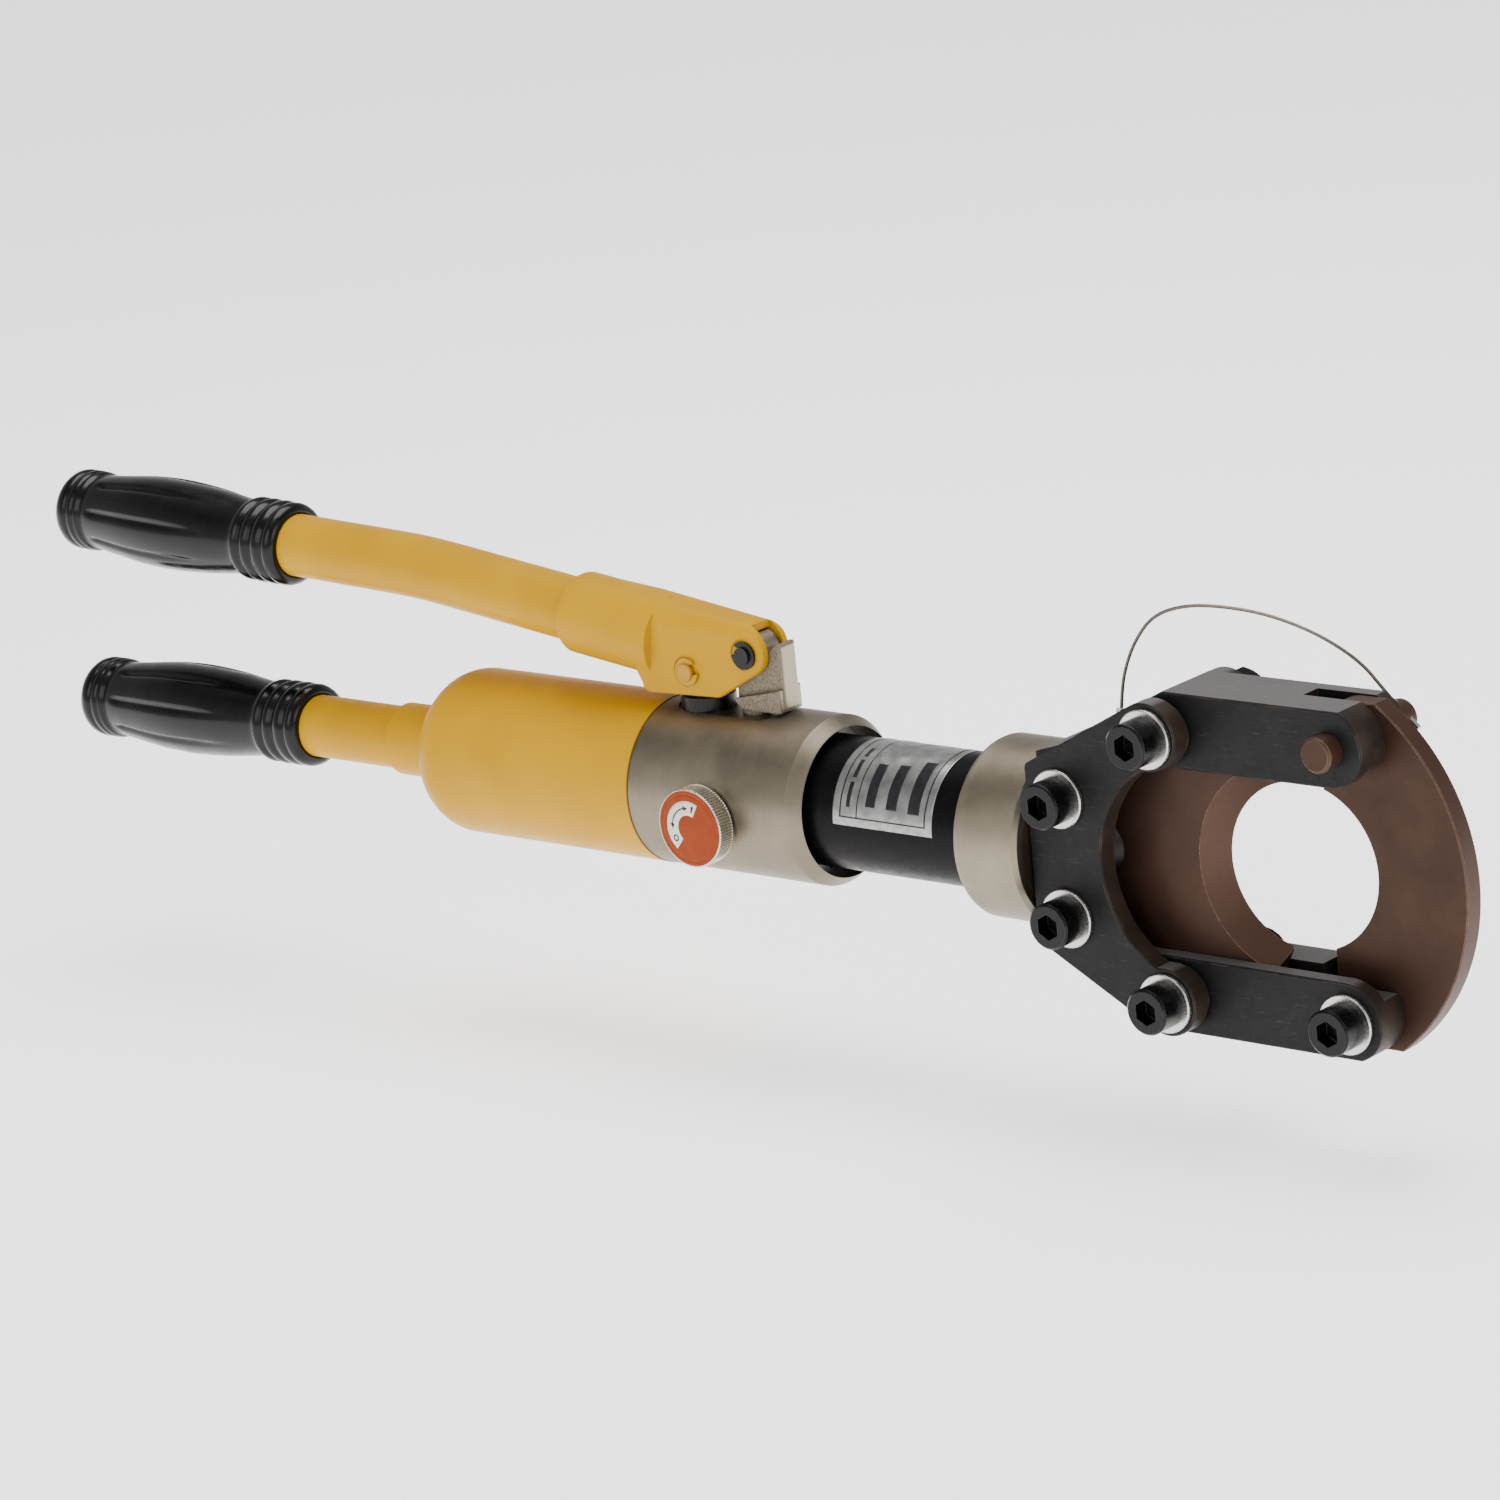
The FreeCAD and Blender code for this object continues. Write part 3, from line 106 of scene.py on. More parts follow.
def lanyard():
    data = bpy.data.curves.new("lanyard", "CURVE")
    data.dimensions = "3D"
    data.bevel_depth = 1.0      # times each point's radius, which also pads the curve's bounding box
    data.bevel_resolution = 4
    data.resolution_u = 16
    data.use_fill_caps = True
    spline = data.splines.new("NURBS")
    spline.points.add(len(LANYARD) - 1)
    for point, place in zip(spline.points, LANYARD):
        point.co = (*(c * MM for c in place), 1)
        point.radius = LANYARD_DIAMETER / 2 * MM
    spline.order_u = 3
    spline.use_endpoint_u = True
    wire = link(bpy.data.objects.new("lanyard_wire_look", data))
    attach(wire, "head")
    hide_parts("lanyard_wire")
    [c * MM for c in LANYARD[0]]
    return wire


wire = lanyard()


# ---- floor and light --------------------------------------------------------------------------
FLOOR_DROP = 40.0       # below the lower arm, so that the opened hook stays above the floor
FLOOR_HALF = 7.0
FLOOR_GLOW = 1.4
SKY_STRENGTH = 0.80
SKY = ((0.0, 1.0), (0.50, 1.0), (0.60, 0.95), (0.70, 0.68), (0.85, 0.32), (1.0, 0.9))   # height, level
LAMPS = (       # name, place, size, power
    ("top", (-0.15, 0.25, 1.7), 1.3, 34),
    ("right", (1.7, -0.5, 0.75), 0.9, 8),
    ("front", (-0.2, -1.9, 1.0), 1.2, 12),
)


def make_floor():
    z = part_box("lower_arm")[0].z - FLOOR_DROP * MM
    corners = [(x * FLOOR_HALF, y * FLOOR_HALF, z) for x, y in ((-1, -1), (1, -1), (1, 1), (-1, 1))]
    mesh = bpy.data.meshes.new("floor")
    mesh.from_pydata(corners, [], [(0, 1, 2, 3)])
    floor = link(bpy.data.objects.new("floor", mesh))
    material = bpy.data.materials.new("floor")
    material.use_nodes = True
    shader = material.node_tree.nodes["Principled BSDF"]
    shader.inputs["Base Color"].default_value = (0.9, 0.9, 0.9, 1)
    shader.inputs["Roughness"].default_value = 0.95
    shader.inputs["Specular IOR Level"].default_value = 0.1
    shader.inputs["Emission Color"].default_value = (1, 1, 1, 1)
    shader.inputs["Emission Strength"].default_value = FLOOR_GLOW
    mesh.materials.append(material)


def make_sky():
    """A world that is bright low down and overhead, with a darker belt between for the metal to mirror."""
    world = bpy.data.worlds.new("studio")
    world.use_nodes = True
    tree = world.node_tree
    background = tree.nodes["Background"]
    place = tree.nodes.new("ShaderNodeTexCoord")
    split = tree.nodes.new("ShaderNodeSeparateXYZ")
    ramp = tree.nodes.new("ShaderNodeValToRGB")
    half_up = tree.nodes.new("ShaderNodeMath")
    half_up.operation = "MULTIPLY_ADD"
    half_up.inputs[1].default_value = 0.5
    half_up.inputs[2].default_value = 0.5
    tree.links.new(place.outputs["Generated"], split.inputs[0])
    tree.links.new(split.outputs["Z"], half_up.inputs[0])
    tree.links.new(half_up.outputs[0], ramp.inputs[0])
    tree.links.new(ramp.outputs[0], background.inputs["Color"])
    stops = ramp.color_ramp.elements
    for at, level in SKY:
        stop = stops.new(at) if at not in (0.0, 1.0) else stops[0 if at == 0.0 else len(stops) - 1]
        stop.color = (level, level, level, 1)
    background.inputs["Strength"].default_value = SKY_STRENGTH
    bpy.context.scene.world = world


def make_lamps():
    for name, place, size, power in LAMPS:
        light = bpy.data.lights.new(name, "AREA")
        light.size = size
        light.energy = power
        lamp = link(bpy.data.objects.new(name, light))
        lamp.location = place
        lamp.rotation_euler = (Vector((0, 0, 0)) - Vector(place)).to_track_quat("-Z", "Y").to_euler()


make_floor()
make_sky()
make_lamps()


# ---- materials --------------------------------------------------------------------------------
def linear(r, g, b):
    """Linear colour from sRGB values of 0 to 255."""
    return tuple((c / 255 / 12.92 if c <= 10 else ((c / 255 + 0.055) / 1.055) ** 2.4) for c in (r, g, b))


class Material:
    """A node material. Coordinates are the object's own, in millimetres."""

    def __init__(self, name, metallic=0.0, roughness=0.5, coat=0.0, coat_roughness=0.1, specular=0.5):
        self.material = bpy.data.materials.new(name)
        self.material.use_nodes = True
        self.tree = self.material.node_tree
        self.shader = self.tree.nodes["Principled BSDF"]
        self.shader.inputs["Metallic"].default_value = metallic
        self.shader.inputs["Roughness"].default_value = roughness
        self.shader.inputs["Coat Weight"].default_value = coat
        self.shader.inputs["Coat Roughness"].default_value = coat_roughness
        self.shader.inputs["Specular IOR Level"].default_value = specular
        coordinates = self.node("ShaderNodeTexCoord")
        scale = self.node("ShaderNodeVectorMath", operation="SCALE")
        scale.inputs["Scale"].default_value = 1 / MM
        self.tree.links.new(coordinates.outputs["Object"], scale.inputs[0])
        self.place = scale.outputs[0]
        self.facing = coordinates.outputs["Normal"]

    def node(self, kind, **settings):
        node = self.tree.nodes.new(kind)
        for key, value in settings.items():
            setattr(node, key, value)
        return node

    def plug(self, value, socket):
        """Link an output to the socket, or set a number or a colour without its alpha as a constant."""
        if isinstance(value, bpy.types.NodeSocket):
            self.tree.links.new(value, socket)
        elif isinstance(value, tuple) and len(value) == 3 and socket.type == "RGBA":
            socket.default_value = (*value, 1)
        else:
            socket.default_value = value

    def math(self, operation, a, b=0.0, clamp=False):
        node = self.node("ShaderNodeMath", operation=operation, use_clamp=clamp)
        for value, socket in zip((a, b), node.inputs):
            self.plug(value, socket)
        return node.outputs[0]

    def stretch(self, x, y, z):
        node = self.node("ShaderNodeVectorMath", operation="MULTIPLY")
        self.tree.links.new(self.place, node.inputs[0])
        node.inputs[1].default_value = (x, y, z)
        return node.outputs[0]

    def noise(self, scale, detail=3.0, roughness=0.55, vector=None):
        node = self.node("ShaderNodeTexNoise")
        self.tree.links.new(vector or self.place, node.inputs["Vector"])
        node.inputs["Scale"].default_value = scale
        node.inputs["Detail"].default_value = detail
        node.inputs["Roughness"].default_value = roughness
        return node.outputs["Fac"]

    def ramp(self, value, low, high, out_low=0.0, out_high=1.0):
        node = self.node("ShaderNodeMapRange")
        for socket, v in zip(node.inputs, (value, low, high, out_low, out_high)):
            self.plug(v, socket)
        return node.outputs[0]

    def mix(self, share, a, b):
        node = self.node("ShaderNodeMix", data_type="RGBA")
        self.plug(share, node.inputs[0])
        self.plug(a, node.inputs[6])
        self.plug(b, node.inputs[7])
        return node.outputs[2]

    def axis(self, vector, name):
        node = self.node("ShaderNodeSeparateXYZ")
        self.tree.links.new(vector, node.inputs[0])
        return node.outputs[name]

    def edge(self, radius):
        """1 on sharp edges, 0 on flat faces, from the difference of the rounded and the true normal."""
        bevel = self.node("ShaderNodeBevel", samples=4)
        bevel.inputs["Radius"].default_value = radius * MM
        normal = self.node("ShaderNodeNewGeometry").outputs["Normal"]
        dot = self.node("ShaderNodeVectorMath", operation="DOT_PRODUCT")
        self.tree.links.new(bevel.outputs[0], dot.inputs[0])
        self.tree.links.new(normal, dot.inputs[1])
        return self.ramp(self.math("SUBTRACT", 1.0, dot.outputs["Value"]), 0.01, 0.12)

    def finish(self, color, roughness, heights=(), rounding=0.35):
        """Connect colour and roughness, and stack bumps given as (height, strength, distance in mm)."""
        self.plug(color, self.shader.inputs["Base Color"])
        self.plug(roughness, self.shader.inputs["Roughness"])
        normal = None
        if rounding:
            bevel = self.node("ShaderNodeBevel", samples=4)
            bevel.inputs["Radius"].default_value = rounding * MM
            normal = bevel.outputs[0]
        for height, strength, distance in heights:
            bump = self.node("ShaderNodeBump")
            bump.inputs["Strength"].default_value = strength
            bump.inputs["Distance"].default_value = distance * MM
            self.tree.links.new(height, bump.inputs["Height"])
            if normal:
                self.tree.links.new(normal, bump.inputs["Normal"])
            normal = bump.outputs[0]
        if normal:
            self.tree.links.new(normal, self.shader.inputs["Normal"])
        return self.material


def yellow_paint(name, seam=None):
    """Satin enamel; seam is the X in mm of a dark joint line."""
    m = Material(name, specular=0.10)
    cloud = m.noise(0.03, 2.0)
    color = m.mix(m.ramp(cloud, 0.35, 0.65), linear(190, 140, 0), linear(198, 148, 0))
    wear = m.math("MULTIPLY", m.edge(0.5), m.ramp(m.noise(0.6, 4.0), 0.5, 0.68), clamp=True)
    color = m.mix(m.math("MULTIPLY", wear, 0.8), color, linear(120, 80, 14))
    speck = m.ramp(m.noise(0.9, 5.0, 0.7), 0.70, 0.78)
    color = m.mix(m.math("MULTIPLY", speck, 0.35), color, linear(150, 95, 6))
    if seam is not None:
        joint = m.ramp(m.axis(m.place, "X"), seam - 0.8, seam - 0.3)
        color = m.mix(m.math("MULTIPLY", joint, 0.75), color, linear(70, 45, 12))
    rough = m.ramp(m.noise(0.25, 4.0), 0.3, 0.7, 0.30, 0.42)
    return m.finish(color, rough, [(m.noise(0.8, 2.0), 0.10, 0.06), (m.noise(0.06, 1.0), 0.15, 0.3)], 0.9)


def turned_nickel(name, tone_a, tone_b, lines, roughness):
    """Satin nickel with fine turning marks round the tool's axis."""
    m = Material(name, metallic=1.0)
    marks = m.noise(1.0, 4.0, 0.6, m.stretch(lines, 0.02, 0.02))
    cloud = m.noise(0.05, 3.0)
    color = m.mix(m.ramp(cloud, 0.35, 0.65), tone_a, tone_b)
    color = m.mix(m.ramp(marks, 0.35, 0.7, 0.0, 0.14), color, linear(84, 78, 67))
    stain = m.ramp(m.noise(0.35, 5.0, 0.7), 0.64, 0.78, 0.0, 0.18)
    color = m.mix(stain, color, linear(78, 69, 56))
    rough = m.math("ADD", m.ramp(marks, 0.3, 0.7, roughness - 0.05, roughness + 0.08),
                   m.ramp(cloud, 0.3, 0.7, -0.03, 0.05))
    return m.finish(color, rough, [(marks, 0.05, 0.02)])


def cast_nickel():
    """Rough casting, with a milled face towards the head."""
    m = Material("cast_nickel", metallic=1.0)
    front = m.ramp(m.axis(m.facing, "X"), 0.5, 0.9)
    grain = m.noise(1.6, 6.0, 0.75)
    color = m.mix(m.ramp(grain, 0.35, 0.7), linear(92, 82, 68), linear(166, 155, 138))
    color = m.mix(front, color, linear(158, 147, 129))
    rough = m.mix(front, (0.5, 0.5, 0.5), (0.3, 0.3, 0.3))
    depth = m.math("MULTIPLY", grain, m.ramp(front, 0.0, 1.0, 1.0, 0.06))
    return m.finish(color, rough, [(depth, 0.9, 0.35)], 0.8)


def cylinder_black():
    """Smooth black enamel, scuffed lengthways."""
    m = Material("cylinder_black", specular=0.08)
    scuff = m.ramp(m.noise(0.5, 5.0, 0.7, m.stretch(1.5, 0.4, 0.4)), 0.58, 0.78)
    color = m.mix(m.math("MULTIPLY", scuff, 0.6), linear(9, 9, 10), linear(34, 34, 36))
    rough = m.ramp(m.noise(0.3, 4.0), 0.3, 0.7, 0.26, 0.42)
    return m.finish(color, rough, [(m.noise(0.8, 2.0), 0.05, 0.05)])


def head_black():
    """Blackened steel of the plates and arms, brown on the sawn edges, worn bright on corners, with a painted
    sheen on the faces that point up or down.
    """
    m = Material("head_black", metallic=0.1, specular=0.2)
    cloud = m.noise(0.08, 4.0, 0.6)
    face = m.mix(m.ramp(cloud, 0.35, 0.65), linear(15, 15, 16), linear(22, 21, 21))
    side = m.mix(m.ramp(m.noise(0.10, 3.0), 0.35, 0.65), linear(34, 29, 26), linear(52, 39, 31))
    flat = m.ramp(m.math("ABSOLUTE", m.axis(m.facing, "Y")), 0.3, 0.8)
    # painted sheen: faces that point up or down are mixed towards a light grey, standing in for the
    # reflection of the overhead light
    top = m.ramp(m.math("ABSOLUTE", m.axis(m.facing, "Z")), 0.93, 0.99)
    color = m.mix(flat, side, face)
    color = m.mix(m.math("MULTIPLY", top, 0.9), color, linear(96, 95, 93))
    scratch = m.ramp(m.noise(1.0, 5.0, 0.7, m.stretch(0.12, 1.6, 1.6)), 0.60, 0.72)
    color = m.mix(m.math("MULTIPLY", scratch, 0.16), color, linear(112, 110, 108))
    wear = m.math("MULTIPLY", m.edge(0.35), m.ramp(m.noise(0.10, 3.0), 0.48, 0.62), clamp=True)
    color = m.mix(m.math("MULTIPLY", wear, 0.6), color, linear(128, 112, 100))
    rough = m.ramp(m.noise(0.6, 5.0, 0.7), 0.3, 0.7, 0.42, 0.60)
    return m.finish(color, rough, [(m.noise(2.2, 4.0, 0.7), 0.08, 0.04), (scratch, 0.05, 0.02)])


def blade_steel():
    """Brown tempered steel with ground bevels that show lighter."""
    m = Material("blade_steel", metallic=0.5, specular=0.22)
    cloud = m.noise(0.05, 4.0, 0.6)
    grind = m.noise(1.0, 5.0, 0.7, m.stretch(0.25, 3.0, 2.5))
    color = m.mix(m.ramp(cloud, 0.3, 0.7), linear(52, 35, 26), linear(66, 45, 35))
    lean = m.math("ABSOLUTE", m.axis(m.facing, "Y"))
    bevel = m.math("MULTIPLY", m.ramp(lean, 0.25, 0.4), m.ramp(lean, 0.85, 0.95, 1.0, 0.0))
    color = m.mix(m.math("MULTIPLY", bevel, 0.6), color, linear(92, 68, 57))
    side = m.ramp(lean, 0.1, 0.3, 1.0, 0.0)
    color = m.mix(m.math("MULTIPLY", side, 0.3), color, linear(92, 66, 54))
    color = m.mix(m.ramp(grind, 0.35, 0.75, 0.0, 0.3), color, linear(58, 40, 32))
    wear = m.math("MULTIPLY", m.edge(0.35), m.ramp(m.noise(0.3, 3.0), 0.3, 0.55), clamp=True)
    color = m.mix(m.math("MULTIPLY", wear, 0.7), color, linear(160, 132, 112))
    rough = m.ramp(grind, 0.3, 0.7, 0.36, 0.50)
    return m.finish(color, rough, [(grind, 0.12, 0.03)])


def oxide(name, tone, worn, roughness):
    """Blackened steel, lighter towards the worn tone along its edges: partly rubbed wear, partly a painted
    glint.
    """
    m = Material(name, metallic=0.6)
    color = m.mix(m.ramp(m.noise(0.5, 4.0), 0.35, 0.65), tuple(c * 0.75 for c in tone), tone)
    # edge mask in patches: partly rubbed wear, partly a painted glint on the edges
    wear = m.math("MULTIPLY", m.edge(0.3), m.ramp(m.noise(0.6, 3.0), 0.35, 0.6), clamp=True)
    color = m.mix(m.math("MULTIPLY", wear, 0.7), color, worn)
    rough = m.ramp(m.noise(1.2, 4.0), 0.3, 0.7, roughness - 0.06, roughness + 0.1)
    return m.finish(color, rough, [(m.noise(3.0, 4.0, 0.7), 0.10, 0.03)])


def bare_metal(name, tone, roughness):
    m = Material(name, metallic=1.0)
    half_range = 0.06
    grain = m.noise(1.5, 5.0, 0.7)
    color = m.mix(m.ramp(grain, 0.3, 0.7), tuple(c * 0.82 for c in tone), tone)
    rough = m.ramp(m.noise(0.7, 4.0), 0.3, 0.7, roughness - half_range, roughness + half_range)
    return m.finish(color, rough, [(grain, 0.04, 0.02)])


def rubber(name, tone, roughness, coat):
    """Moulded rubber with a little dust in patches."""
    m = Material(name, coat=coat, coat_roughness=0.10, specular=0.22)
    dust = m.ramp(m.noise(0.4, 6.0, 0.75), 0.58, 0.8, 0.0, 0.2)
    color = m.mix(dust, tone, tuple(c * 2.6 + 0.004 for c in tone))
    rough = m.ramp(m.noise(0.15, 4.0), 0.3, 0.7, roughness - 0.07, roughness + 0.09)
    return m.finish(color, rough, [(m.noise(0.5, 2.0), 0.05, 0.05), (m.noise(7.0, 2.0), 0.02, 0.01)], 0)


def gloss(name, tone, dark, roughness, coat, metallic=0.0, grain=0.0):
    """Printed or painted film in a cloud of two tones."""
    m = Material(name, metallic=metallic, coat=coat, coat_roughness=0.08, specular=0.15)
    color = m.mix(m.ramp(m.noise(0.25, 4.0), 0.35, 0.7), tone, dark)
    rough = m.ramp(m.noise(0.5, 4.0), 0.3, 0.7, roughness - 0.04, roughness + 0.06)
    return m.finish(color, rough, [(m.noise(1.0, 2.0), 0.05 + grain, 0.06)], 0)


X_BETWEEN_PINS = -84.0
X_RESERVOIR_SEAM = -113.0


def lever_pins():
    """Pins and clips of the fork: black at the fulcrum, painted over at the link pin behind it."""
    m = Material("lever_pins", specular=0.25)
    front = m.ramp(m.axis(m.place, "X"), X_BETWEEN_PINS - 1, X_BETWEEN_PINS + 1)
    paint = m.mix(m.math("MULTIPLY", m.edge(0.4), 0.9), linear(188, 136, 0), linear(70, 45, 4))
    black = m.mix(m.math("MULTIPLY", m.edge(0.3), 0.4), linear(14, 14, 15), linear(90, 90, 90))
    rough = m.ramp(m.noise(0.8, 3.0), 0.3, 0.7, 0.28, 0.42)
    return m.finish(m.mix(front, paint, black), rough, [(m.noise(0.9, 2.0), 0.1, 0.06)], 0.15)


LOOKS = {
    "yellow_paint": yellow_paint("yellow_paint"),
    "nickel_casting": turned_nickel("pump_nickel", linear(122, 114, 98), linear(136, 127, 110), 6.0, 0.40),
    "black_paint": head_black(),
    "black_oxide": oxide("black_oxide", linear(15, 15, 16), linear(90, 89, 88), 0.28),
    "blade_steel": blade_steel(),
    "bright_steel": bare_metal("bright_steel", linear(206, 204, 198), 0.26),
    "hidden_steel": bare_metal("hidden_steel", linear(170, 168, 165), 0.40),
    "brass_parts": bare_metal("brass_parts", linear(196, 160, 88), 0.36),
    "grip_rubber": rubber("grip_rubber", linear(5, 5, 6), 0.24, 0.12),
    "oil_rubber": rubber("oil_rubber", linear(32, 31, 30), 0.60, 0.0),
    "knob_paint": gloss("knob_red", linear(146, 56, 0), linear(134, 47, 0), 0.30, 0.0),
    "label_film": gloss("label_foil", linear(166, 167, 163), linear(132, 134, 131), 0.30, 0.0, 0.9, 0.1),
}
SPECIAL = {     # nodes that don't look like the rest of their material slot
    "head_collar": turned_nickel("collar_nickel", linear(130, 121, 105), linear(143, 134, 116), 9.0, 0.38),
    "fulcrum_block": cast_nickel(),
    "cylinder_tube": cylinder_black(),
    "plunger_gland": LOOKS["black_oxide"],
    "reservoir_shell": yellow_paint("reservoir_yellow", seam=X_RESERVOIR_SEAM),
    "ram_rod": oxide("rod_dark", linear(24, 20, 19), linear(50, 44, 42), 0.34),
    "lock_pin": LOOKS["blade_steel"],
}
PINS = lever_pins()
for name in ("link_pin", "fulcrum_pin", "lever_clips"):
    SPECIAL[name] = PINS
LABEL_INK = gloss("label_ink", linear(22, 22, 24), linear(34, 34, 36), 0.34, 0.3)
BAND = gloss("knob_band", linear(232, 226, 214), linear(214, 206, 192), 0.34, 0.5)
KNURL = turned_nickel("knurl_nickel", linear(200, 194, 184), linear(214, 208, 198), 1.0, 0.26)


def dress(thing, material):
    thing.data.materials.clear()
    thing.data.materials.append(material)


for part in frame["record"]["subparts"]:
    name = part["node"]
    dress(frame["nodes"][name], SPECIAL.get(name) or LOOKS[part["material_slot"]])
dress(wire, bare_metal("wire_steel", linear(120, 112, 104), 0.34))


# ---- mesh helpers -----------------------------------------------------------------------------
def piece(name, points, faces, body, material, replaced=(), smooth=True):
    mesh = bpy.data.meshes.new(name)
    mesh.from_pydata([tuple(c * MM for c in p) for p in points], [], faces)
    mesh.validate()
    for polygon in mesh.polygons:
        polygon.use_smooth = smooth
    thing = link(bpy.data.objects.new(name, mesh))
    thing.data.materials.append(material)
    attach(thing, body)
    if replaced:
        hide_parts(*replaced)
    return thing


def lathe(rows, around, place):
    """Closed skin of rows of (along, radius or radius function); the first and last row are points."""
    points = [place(rows[0][0], 0.0, 0.0)]
    faces = []
    for along, radius in rows[1:-1]:
        for j in range(around):
            turn = 2 * math.pi * j / around
            points.append(place(along, radius(turn) if callable(radius) else radius, turn))
    points.append(place(rows[-1][0], 0.0, 0.0))
    count = len(rows) - 2
    last = len(points) - 1
    for j in range(around):
        k = (j + 1) % around
        faces.append((0, 1 + k, 1 + j))
        for i in range(count - 1):
            a = 1 + i * around
            faces.append((a + j, a + k, a + around + k, a + around + j))
        a = 1 + (count - 1) * around
        faces.append((a + j, a + k, last))
    return points, faces


def sheet(place, us, vs, thickness):
    """Closed thin shell over a grid: place(u, v, height) gives a point, height runs from 0 to thickness."""
    points = []
    for height in (thickness, 0.0):
        for u in us:
            for v in vs:
                points.append(place(u, v, height))
    nu, nv = len(us), len(vs)
    faces = []
    low = nu * nv
    for i in range(nu - 1):
        for j in range(nv - 1):
            a = i * nv + j
            faces.append((a, a + nv, a + nv + 1, a + 1))
            faces.append((low + a, low + a + 1, low + a + nv + 1, low + a + nv))
    rim = [i * nv for i in range(nu)] + [(nu - 1) * nv + j for j in range(1, nv)]
    rim += [i * nv + nv - 1 for i in range(nu - 2, -1, -1)] + [j for j in range(nv - 2, 0, -1)]
    for a, b in zip(rim, rim[1:] + rim[:1]):
        faces.append((a, low + a, low + b, b))
    return points, faces


def spread(low, high, count):
    return [low + (high - low) * i / (count - 1) for i in range(count)]


# ---- rubber grips -----------------------------------------------------------------------------
X_GRIP_END = -419.0
GRIP_LENGTH = 122.0
R_GRIP_MOUTH = 13.2
R_BORE = 11.82
BORE_START = 6.0
GRIP_PROFILE = [        # distance from the closed end, radius
    (0, 8.0), (0.6, 10.4), (1.6, 12.2), (3.4, 14.2), (5.2, 15.3), (6.6, 15.6), (8.2, 15.6), (8.9, 15.25),
    (9.3, 14.9), (9.8, 15.2), (10.6, 15.6), (12.0, 15.6), (12.7, 15.2), (13.1, 14.9), (13.6, 15.2),
    (14.3, 15.5), (15.2, 15.2), (16.2, 14.5), (17.4, 14.3), (19, 14.6), (28, 15.7), (43, 17.2), (58, 17.6),
    (76, 16.6), (90, 14.9), (96.5, 14.2), (98.2, 14.2), (99.0, 14.7), (99.8, 15.5), (101.2, 15.9),
    (102.6, 15.6), (103.4, 14.9), (104.0, 14.6), (104.7, 14.9), (105.5, 15.6), (107, 16.0), (108.5, 15.7),
    (109.4, 15.0), (110.0, 14.7), (110.7, 15.0), (111.5, 15.7), (113.3, 16.0), (115.1, 15.7), (115.9, 15.1),
    (116.4, 14.9), (117.0, 15.2), (117.6, 15.7), (119, 15.8), (120.6, 15.2), (121.6, 14.0),
]
PANELS = 8
GROOVE_DEPTH = 1.15
PANEL_START = (19.0, 25.0)      # the grooves and panels come up here
PANEL_FADE = (55.0, 88.0)       # and run out here
PROFILE_STATIONS = (16, 98, 60)     # from, to and how many, between the profile's own
STEPS_ROUND_GRIP = 144


def smooth_step(x, a, b):
    t = min(max((x - a) / (b - a), 0.0), 1.0)
    return t * t * (3 - 2 * t)


def profile_radius(along):
    """Catmull-Rom curve through the grip's profile."""
    for i in range(len(GRIP_PROFILE) - 1):
        if along <= GRIP_PROFILE[i + 1][0]:
            break
    p1, p2 = GRIP_PROFILE[i], GRIP_PROFILE[i + 1]
    p0 = GRIP_PROFILE[max(i - 1, 0)]
    p3 = GRIP_PROFILE[min(i + 2, len(GRIP_PROFILE) - 1)]
    span = p2[0] - p1[0]
    t = (along - p1[0]) / span
    m1 = (p2[1] - p0[1]) / (p2[0] - p0[0]) * span
    m2 = (p3[1] - p1[1]) / (p3[0] - p1[0]) * span
    return ((2 * t ** 3 - 3 * t ** 2 + 1) * p1[1] + (t ** 3 - 2 * t ** 2 + t) * m1
            + (-2 * t ** 3 + 3 * t ** 2) * p2[1] + (t ** 3 - t ** 2) * m2)


def grip_radius(along):
    """Radius at a distance from the closed end, as a function of the angle round the grip."""
    base = profile_radius(along)
    start = smooth_step(along, *PANEL_START)
    fade = 1 - smooth_step(along, *PANEL_FADE)
    depth = GROOVE_DEPTH * start * fade

    def radius(turn):
        share = (turn / (2 * math.pi) * PANELS + 0.35) % 1.0
        ramp = share ** 3 * 0.9
        groove = math.exp(-((share - 1.0) / 0.07) ** 2) + math.exp(-(share / 0.10) ** 2)
        lens = 0.35 * (math.sin(math.pi * share) - 1) * start * fade
        return base + lens - depth * groove + 0.25 * ramp * start * fade

    return radius


def grip(name, node, body, pose):
    stations = {round(row[0], 2) for row in GRIP_PROFILE} | {round(a, 2) for a in spread(*PROFILE_STATIONS)}
    rows = [(0.0, 0.0)] + [(a, grip_radius(a)) for a in sorted(stations)]
    rows += [(GRIP_LENGTH, R_GRIP_MOUTH), (GRIP_LENGTH, R_BORE), (BORE_START, R_BORE), (BORE_START, 0.0)]

    def place(along, radius, turn):
        return pose @ Vector((along, radius * math.cos(turn), radius * math.sin(turn)))

    points, faces = lathe(rows, STEPS_ROUND_GRIP, place)
    piece(name, points, faces, body, LOOKS["grip_rubber"], (node,))


SLEEVE_ANGLE = math.radians(7.3)
GRIP_ANGLE = math.radians(2.5)
X_SLEEVE, Z_SLEEVE = -158.0, 58.6       # a point on the lever's axis, inside its sleeve
X_TUBE_BEND = -232.1


def lever_grip_pose():
    """The lever's axis rises from the sleeve to the bend, and then at the grip's own flatter angle."""
    bend = Vector((X_TUBE_BEND, 0, Z_SLEEVE + (X_SLEEVE - X_TUBE_BEND) * math.tan(SLEEVE_ANGLE)))
    reach = (X_TUBE_BEND - X_GRIP_END) / math.cos(GRIP_ANGLE)
    end = bend + Vector((-math.cos(GRIP_ANGLE), 0, math.sin(GRIP_ANGLE))) * reach
    return Matrix.Translation(end) @ Matrix.Rotation(GRIP_ANGLE, 4, "Y")


grip("handle_grip_fluted", "handle_grip", "pump", Matrix.Translation((X_GRIP_END, 0, 0)))
grip("lever_grip_fluted", "lever_grip", "lever", lever_grip_pose())


